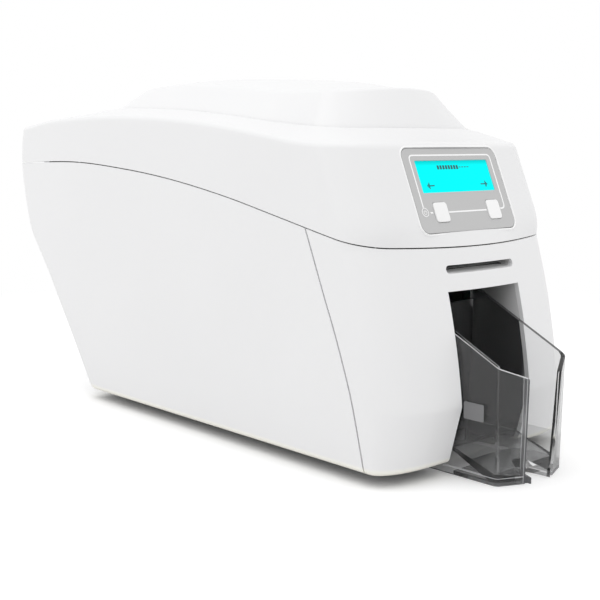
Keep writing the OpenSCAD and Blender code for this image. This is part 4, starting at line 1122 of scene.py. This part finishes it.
def ribbon(path, width, closed=False):
    """Printed strip on the panel: the path offset to both sides by half the width, and raised."""
    p = np.asarray(path, float)
    if closed:
        ahead = np.roll(p, -1, axis=0) - np.roll(p, 1, axis=0)
    else:
        ahead = np.gradient(p, axis=0)
    ahead /= np.linalg.norm(ahead, axis=1, keepdims=True)
    side = np.stack([-ahead[:, 1], ahead[:, 0]], axis=1) * width / 2
    corners = [(p - side, PRINT_LOW), (p + side, PRINT_LOW), (p + side, PRINT_HIGH),
               (p - side, PRINT_HIGH)]
    grid = np.stack([panel_frame(q[:, 0], q[:, 1], n) for q, n in corners], axis=1)
    return closed_grid(grid) if closed else rings(list(grid))


def bent_line(points, radius):
    """Polyline with each inner corner turned by an arc of the radius."""
    p = np.asarray(points, float)
    out = [p[:1]]
    for before, at, after in zip(p[:-2], p[1:-1], p[2:]):
        a, b = before - at, after - at
        a, b = a / np.linalg.norm(a), b / np.linalg.norm(b)
        t = np.linspace(0, 1, 9)[:, None]
        start, end = at + a * radius, at + b * radius
        out.append((1 - t) ** 2 * start + 2 * t * (1 - t) * at + t * t * end)
    out.append(p[-1:])
    return np.concatenate(out)


def join(parts):
    """One list of points and faces out of several."""
    points, faces, count = [], [], 0
    for p, f in parts:
        points.append(np.asarray(p, float))
        faces += [[i + count for i in face] for face in f]
        count += len(p)
    return np.concatenate(points), faces


def build_panel(sizes, grey_finish, line_finish, lip_painted_highlight):
    """Grey membrane panel with the printed line and sign, and the white lip round it."""
    w, h, r = sizes.width * 1000, sizes.height * 1000, sizes.corner * 1000
    holes = [rounded(64.4, 19.6, 0.5, 0, SCREEN_S, 3)]
    holes += [rounded(11.9, 12.3, 2.2, x, s) for x, s in KEYS]
    outer = rounded(w - 0.8, h - 0.8, r - 0.4, 0, h / 2, 10)
    obj = solid("panel_membrane", on_panel(outer, -2.4, 0.0))
    cut(obj, *[on_panel(hole, -5.4, 3.0) for hole in holes])
    round_edges(obj, 0.00012, segments=2)
    shade(obj)
    hand_over(obj, grey_finish, "lid", "panel_grey", "display_panel")

    line = sizes.line * 1000
    frame = bent_line([[-36, 15.6], [-36, 47], [36, 47], [36, 12.6], [31.6, 12.6]], 3.0)
    print_obj = solid("panel_print", join([
        ribbon(frame, line),
        ribbon([[-15.4, 12.2], [0, 12.2], [18.4, 12.2]], line),
        ribbon([[-31.2, 12.4], [-30.2, 12.4], [-29.2, 12.4]], line),
        ribbon(arc(-35.4, 12.9, 2.5, np.linspace(0, 360, 33)[:-1]), 0.4, closed=True),
        ribbon(arc(-35.4, 12.8, 1.15, np.linspace(125, 415, 20)), 0.35),
        ribbon([[-35.4, 12.9], [-35.4, 13.5], [-35.4, 14.2]], 0.35)]))
    shade(print_obj)
    hand_over(print_obj, line_finish, "lid", "button_white")

    # The lip's section is half round, and its height follows the lid's bow
    outer = rounded(w + 2.3, h + 2.3, r + 1.15, 0, h / 2, 12)
    inner = rounded(w - 0.1, h - 0.1, r - 0.05, 0, h / 2, 12)
    rows = []
    for angle in np.linspace(0, 180, 11):
        a = math.radians(angle)
        p = mix(outer, inner, 0.5 - 0.5 * math.cos(a))
        lid = lid_above_panel(outer[:, 0], outer[:, 1])
        low = np.minimum(lid, 0.0) - 0.4
        high = np.maximum(lid, 0.0) + 0.38
        rise = math.sin(a) ** 0.6 if 0 < angle < 180 else 0.0
        rows.append(panel_frame(p[:, 0], p[:, 1], mix(low, high, rise)))
    rim = solid("panel_lip", closed_grid(np.stack(rows)))
    shade(rim, 50)
    # The lip's white is brighter than the casing's: a painted highlight
    hand_over(rim, lip_painted_highlight, "lid", "white_casing")


def build_screen(lit, ink):
    """Display window: a lit block with softened edges, and plain marks of dark pixels on it: a
    dashed bar, and an arrow over each key."""
    glass = [panel_frame(*rounded(64 - i, 19.2 - i, 0.4, 0, SCREEN_S, 3).T, n)
             for i, n in ((0, -6.6), (0, -0.5), (0.3, -0.35))]
    obj = solid("lit_window", rings(glass))
    shade(obj)
    hand_over(obj, lit, "lid", "cyan_screen", "display_screen")
    parts = []

    def pixel(x, s, w, h):
        flat = np.array([[x - w / 2, s - h / 2], [x + w / 2, s - h / 2], [x + w / 2, s + h / 2],
                         [x - w / 2, s + h / 2]])
        parts.append(on_panel(flat, -0.36, -0.31))

    for k in range(12):
        pixel(-13.2 + 2.4 * k, 39.6, 1.7, 2.5 if k < 8 else 0.5)
    for x, way in ((-25.0, -1), (25.0, 1)):
        for k, count in enumerate((5, 3, 1)):
            for j in range(count):
                pixel(x + way * k * 0.8, 28.6 + (j - (count - 1) / 2) * 0.8, 0.72, 0.72)
        for k in range(1, 6):
            pixel(x - way * k * 0.8, 28.6, 0.72, 0.72)
    marks = solid("window_marks", join(parts))
    hand_over(marks, ink, "lid", "black_plastic")


def build_key(name, body, x, s, material):
    """Key cap: a rounded square whose sides turn over into a shallow dome, and its skirt."""
    rows = [(11.4, 11.8, 2.0, -3.2), (11.4, 11.8, 2.0, 0.1)]
    for a in np.radians(np.linspace(0, 90, 6)):
        i = 0.9 * (1 - math.cos(a))
        rows.append((11.4 - i, 11.8 - i, 2.0 - i / 2, 0.25 + 0.45 * math.sin(a)))
    for k in (0.85, 0.6, 0.3):
        rows.append((10.5 * k, 10.9 * k, 1.55 * k, 0.7 + 0.2 * (1 - k * k)))
    obj = solid(name, rings([panel_frame(*rounded(w, h, r, x, s, 6).T, n)
                             for w, h, r, n in rows]))
    shade(obj, 50)
    hand_over(obj, material, body, "button_white", name.replace("cap", "button"))


def build_feet(material):
    """Four rubber feet: a filleted disc with a shallow ring groove below, turned round its axis."""
    profile = [(1.2, 0.0), (3.0, 0.0), (3.4, 0.6), (5.0, 0.6), (5.4, 0.0),
               (7.2, 0.0), (8.0, 0.15), (8.7, 0.7), (9.0, 1.6), (9.0, 8.4)]
    turn = np.linspace(0, 360, 37)[:-1]
    obj = solid("feet_pads", join([
        rings([np.insert(arc(x, y, r, turn), 2, z, axis=1) for r, z in profile])
        for x in FEET_X for y in FEET_Y]))
    shade(obj)
    hand_over(obj, material, "root", "foot_rubber", "rubber_feet")


def ready(context, cls):
    """Property group of the class, by its own name on the scene."""
    return getattr(context.scene, GROUPS[cls])


class PRINTER_OT_casing(bpy.types.Operator):
    """Build the white covers, the chute and the feet"""

    bl_idname = "card_printer.casing"
    bl_label = "Casing"

    def execute(self, context):
        sizes = ready(context, CasingSizes)
        white = casing_white(tuple(ready(context, Finishes).casing))
        build_front_cover(sizes, white)
        build_side_cover(sizes, white, -1)
        build_side_cover(sizes, white, 1)
        build_rear_panel(sizes, white)
        build_lid(sizes, white)
        build_top_cover(sizes, white)
        build_feet(rubber("foot rubber", (0.035, 0.035, 0.037)))
        dress(chute_lining_painted_shade(tuple(ready(context, Finishes).casing)), "chute_liner")
        return {"FINISHED"}


class PRINTER_OT_panel(bpy.types.Operator):
    """Build the display panel, its window and its keys"""

    bl_idname = "card_printer.panel"
    bl_label = "Display Panel"

    def execute(self, context):
        finishes = ready(context, Finishes)
        key = moulded("key white", (0.92, 0.92, 0.92), 0.38)
        build_panel(ready(context, PanelSizes), panel_grey(tuple(finishes.panel)),
                    moulded("print white", (0.96, 0.96, 0.96), 0.5),
                    # The lip's white is brighter than the casing's white: a painted highlight along
                    # the raised lip
                    moulded("lip white", (0.96, 0.96, 0.96), 0.3))
        build_screen(lit_window(tuple(finishes.window)),
                     moulded("screen ink", (0.0, 0.12, 0.13), 0.5))
        build_key("left_cap", "left_key", *KEYS[0], key)
        build_key("right_cap", "right_key", *KEYS[1], key)
        return {"FINISHED"}


class PRINTER_OT_hopper(bpy.types.Operator):
    """Build the clear card hopper and its blank patch"""

    bl_idname = "card_printer.hopper"
    bl_label = "Card Hopper"

    def execute(self, context):
        build_hopper(ready(context, HopperSizes),
                     smoky_clear(tuple(ready(context, Finishes).smoke)),
                     moulded("patch grey", (0.2, 0.2, 0.205), 0.55))
        return {"FINISHED"}


def panel_grey(colour):
    """Grey polycarbonate membrane with a fine velvet texture and a slight fade up the slope."""
    r = Recipe("panel grey")
    fine = r.noise(2600.0, 2.0)
    fade = r.z.ramp(0.137, 0.185)
    base = r.blend(fade, tone(colour, 0.99), tone(colour, 0.97))
    return r.finish(Base_Color=base, Roughness=0.42 + fine * 0.08, Normal=r.bump(fine, 0.000006))


def lit_window(colour):
    """Backlit display: an even glow, with a painted shadow band under the upper edge and a pixel
    grid.
    """
    r = Recipe("lit window")
    # Painted shadow of the bezel: the glow is darker under the window's upper edge
    shade_top = r.z.ramp(0.1742, 0.1778)
    grid = ((r.x * 1380.0).fraction() - 0.5).absolute().ramp(0.44, 0.5)
    glow = r.blend(shade_top * 0.5 + grid * 0.05, tone(colour), tone(colour, 0.35))
    return r.finish(Base_Color=(0.0, 0.02, 0.02, 1.0), Roughness=0.35 + r.noise(50.0) * 0.05,
                    Emission_Color=glow, Emission_Strength=1.0, Specular_IOR_Level=0.02)


def dress(material, *names):
    """Puts a material on CAD nodes."""
    for name in names:
        for slot in NODES[name].material_slots:
            slot.material = material


def wound_film(name, colour, shine):
    """Wound film: fine rings across the roll's ends and faint bands along its glossy surface."""
    r = Recipe(name)
    bands = r.noise(1200.0, 2.0, 0.6, r.stretched(0.01, 1.0, 1.0))
    edge = r.noise(260.0, 3.0, 0.6, r.stretched(1.0, 0.05, 0.05))
    base = r.blend(bands.ramp(0.35, 0.65), tone(colour), tone(colour, 1.6, 0.02))
    return r.finish(Base_Color=base, Roughness=shine + edge * 0.1, Coat_Weight=0.4,
                    Coat_Roughness=0.08, Normal=r.bump(bands, 0.00002))


def circuit(name, face, out, plane):
    """Populated board: green mask with copper tracks on a grid, tin pads, and dark parts where the
    surface stands off the board's plane."""
    r = Recipe(name)
    cell = r.add("ShaderNodeTexVoronoi", {"feature": "F1", "distance": "MANHATTAN"},
                 {"Vector": r.place, "Scale": 210.0})
    tracks = r.add("ShaderNodeTexBrick", {"offset": 0.5}, {
        "Vector": r.place, "Color1": (0.02, 0.16, 0.06, 1), "Color2": (0.025, 0.2, 0.08, 1),
        "Mortar": (0.06, 0.34, 0.14, 1), "Scale": 420.0, "Mortar Size": 0.04})
    pads = Number(r, cell.outputs["Distance"]).under(0.09)
    board = r.blend(pads, tracks.outputs["Color"], (0.62, 0.62, 0.6, 1.0))
    depth = {"x": r.x, "y": r.y, "z": r.z}[face]
    parts = (depth - plane).over(0.0) if out > 0 else (depth - plane).under(0.0)
    chip = r.blend(r.noise(260.0).ramp(0.4, 0.7),
                   (0.015, 0.015, 0.017, 1.0), (0.05, 0.05, 0.055, 1.0))
    return r.finish(Base_Color=r.blend(parts, board, chip), Roughness=0.32 + parts * 0.2,
                    Normal=r.bump(pads, 0.00005))


class PRINTER_OT_works(bpy.types.Operator):
    """Finish the card path, the drive, the film and the electronics"""

    bl_idname = "card_printer.works"
    bl_label = "Works"

    def execute(self, context):
        dress(moulded("frame plastic", (0.62, 0.62, 0.61), 0.5), "lid_frame")
        dress(moulded("black plastic", (0.013, 0.013, 0.014), 0.45, 0.00002, 900.0),
              "base_tray", "chute_back", "card_guide", "card_feeder", "card_gate", "power_inlet",
              "power_switch")
        dress(steel("plated sheet", (0.62, 0.63, 0.64), 0.36, "y"),
              "left_chassis_plate", "right_chassis_plate", "head_bracket", "power_supply",
              "data_sockets", "hinge_brackets", "hinge_leaves")
        dress(steel("ground bar", (0.72, 0.72, 0.73), 0.22, "x"),
              "hinge_pins", "tie_rods", "exit_shaft", "platen_shaft", "feed_shaft", "pick_shaft")
        dress(moulded("natural acetal", (0.72, 0.7, 0.62), 0.42),
              "shaft_bushes", "exit_pulley", "platen_pulley", "feed_pulley", "pick_pulley",
              "motor_pulley", "takeup_pinion")
        dress(rubber("roller rubber", (0.045, 0.046, 0.05), 0.68),
              "exit_roller", "platen_roller", "feed_roller", "pick_roller")
        dress(moulded("idler grey", (0.12, 0.125, 0.13), 0.5), "exit_idler", "feed_idler")
        dress(rubber("tacky blue", (0.03, 0.14, 0.42), 0.4, 0.00001), "cleaning_roller")
        dress(rubber("belt", (0.012, 0.012, 0.012), 0.7), "drive_belt")
        dress(moulded("motor black", (0.02, 0.02, 0.024), 0.35, 0.00001, 500.0, 0.2), "drive_motor",
              "takeup_motor")
        dress(moulded("spool blue", (0.12, 0.34, 0.62), 0.3, coat=0.3),
              "supply_spool", "takeup_spool")
        dress(wound_film("fresh film", (0.06, 0.02, 0.14), 0.18), "supply_film")
        dress(wound_film("used film", (0.02, 0.02, 0.03), 0.25), "takeup_film")
        dress(steel("head aluminium", (0.66, 0.67, 0.7), 0.34, "x"), "print_head")
        dress(circuit("main circuit", "x", -1, -0.0652), "main_board")
        dress(circuit("panel circuit", "x", -1, -1.0), "panel_board")
        return {"FINISHED"}


def lamp(name, power, place, target, size):
    """Square area lamp that faces its target."""
    data = bpy.data.lights.new(name, "AREA")
    data.energy = power
    data.size = size
    obj = bpy.data.objects.new(name, data)
    bpy.context.scene.collection.objects.link(obj)
    obj.location = place
    obj.rotation_euler = (Vector(target) - Vector(place)).to_track_quat("-Z", "Y").to_euler()


class PRINTER_OT_stage(bpy.types.Operator):
    """Set the camera, the pale floor and the soft light"""

    bl_idname = "card_printer.stage"
    bl_label = "Stage"

    def execute(self, context):
        settings = ready(context, StageSettings)
        scene = context.scene
        camera = bpy.data.cameras.new("camera")
        camera.lens = 65.418
        camera.sensor_width = 36.0
        camera.clip_start = 0.01
        view = bpy.data.objects.new("camera", camera)
        scene.collection.objects.link(view)
        view.location = (-0.494909, -0.574373, 0.187706)
        view.rotation_euler = (math.radians(90 - 8.2001), 0.0, math.radians(-41.8475))
        scene.camera = view
        scene.view_settings.view_transform = "Standard"

        world = bpy.data.worlds.new("studio")
        scene.world = world
        sky = NodeTree(world, "ShaderNodeOutputWorld")
        strength = sky.rays(*SEEN_RAYS).ramp(0.0, 1.0, settings.world_light, 1.0)
        sky.show(sky.add("ShaderNodeBackground", inputs={"Color": grey(1.0), "Strength": strength}))

        floor = link("floor", bpy.data.meshes.new("floor"))
        corners = [(-FLOOR_HALF, -FLOOR_HALF, 0), (FLOOR_HALF, -FLOOR_HALF, 0),
                   (FLOOR_HALF, FLOOR_HALF, 0), (-FLOOR_HALF, FLOOR_HALF, 0)]
        floor.data.from_pydata(corners, [], [[0, 1, 2, 3]])
        recipe = Recipe("floor white")
        away = (recipe.x * recipe.x + recipe.y * recipe.y).power(0.5).ramp(0.4, 0.7)
        plain = recipe.add("ShaderNodeBsdfDiffuse", inputs={"Color": grey(0.78)})
        bright = recipe.add("ShaderNodeBsdfDiffuse", inputs={"Color": grey(1.1)})
        glow = recipe.add("ShaderNodeEmission", inputs={"Color": grey(1.0), "Strength": 1.0})
        near = recipe.add("ShaderNodeMixShader", inputs={
            0: recipe.rays("Is Camera Ray"), 1: plain.outputs[0], 2: bright.outputs[0]})
        recipe.show(recipe.add("ShaderNodeMixShader", inputs={
            0: away * recipe.rays(*SEEN_RAYS), 1: near.outputs[0], 2: glow.outputs[0]}))
        floor.data.materials.append(recipe.material)

        lamp("top lamp", settings.top_light, (-0.25, 0.15, 1.5), (0, 0, 0.15), 1.4)
        lamp("side lamp", settings.side_light, (-1.35, 0.75, 0.8), (0, 0, 0.12), 1.0)
        return {"FINISHED"}


class PRINTER_PT_sidebar(bpy.types.Panel):
    """Card printer's operators and sizes"""

    bl_label = "Card Printer"
    bl_idname = "PRINTER_PT_sidebar"
    bl_space_type = "VIEW_3D"
    bl_region_type = "UI"
    bl_category = "Card Printer"

    def draw(self, context):
        for cls in OPERATORS:
            self.layout.operator(cls.bl_idname)
        for cls, name in GROUPS.items():
            box = self.layout.box()
            box.label(text=cls.__doc__)
            group = getattr(context.scene, name)
            for key in cls.__annotations__:
                box.prop(group, key)


GROUPS = {CasingSizes: "casing_sizes", PanelSizes: "panel_sizes", HopperSizes: "hopper_sizes",
          Finishes: "printer_finishes", StageSettings: "printer_stage"}
OPERATORS = (PRINTER_OT_stage, PRINTER_OT_casing, PRINTER_OT_panel, PRINTER_OT_hopper,
             PRINTER_OT_works)


def register():
    for cls in (*GROUPS, *OPERATORS, PRINTER_PT_sidebar):
        bpy.utils.register_class(cls)
    for cls, name in GROUPS.items():
        setattr(bpy.types.Scene, name, bpy.props.PointerProperty(type=cls))


def unregister():
    for cls, name in GROUPS.items():
        delattr(bpy.types.Scene, name)
    for cls in (PRINTER_PT_sidebar, *reversed(OPERATORS), *reversed(list(GROUPS))):
        bpy.utils.unregister_class(cls)


def main():
    register()
    bpy.ops.card_printer.stage()
    bpy.ops.card_printer.casing()
    bpy.ops.card_printer.panel()
    bpy.ops.card_printer.hopper()
    bpy.ops.card_printer.works()


if __name__ == "__main__":
    main()
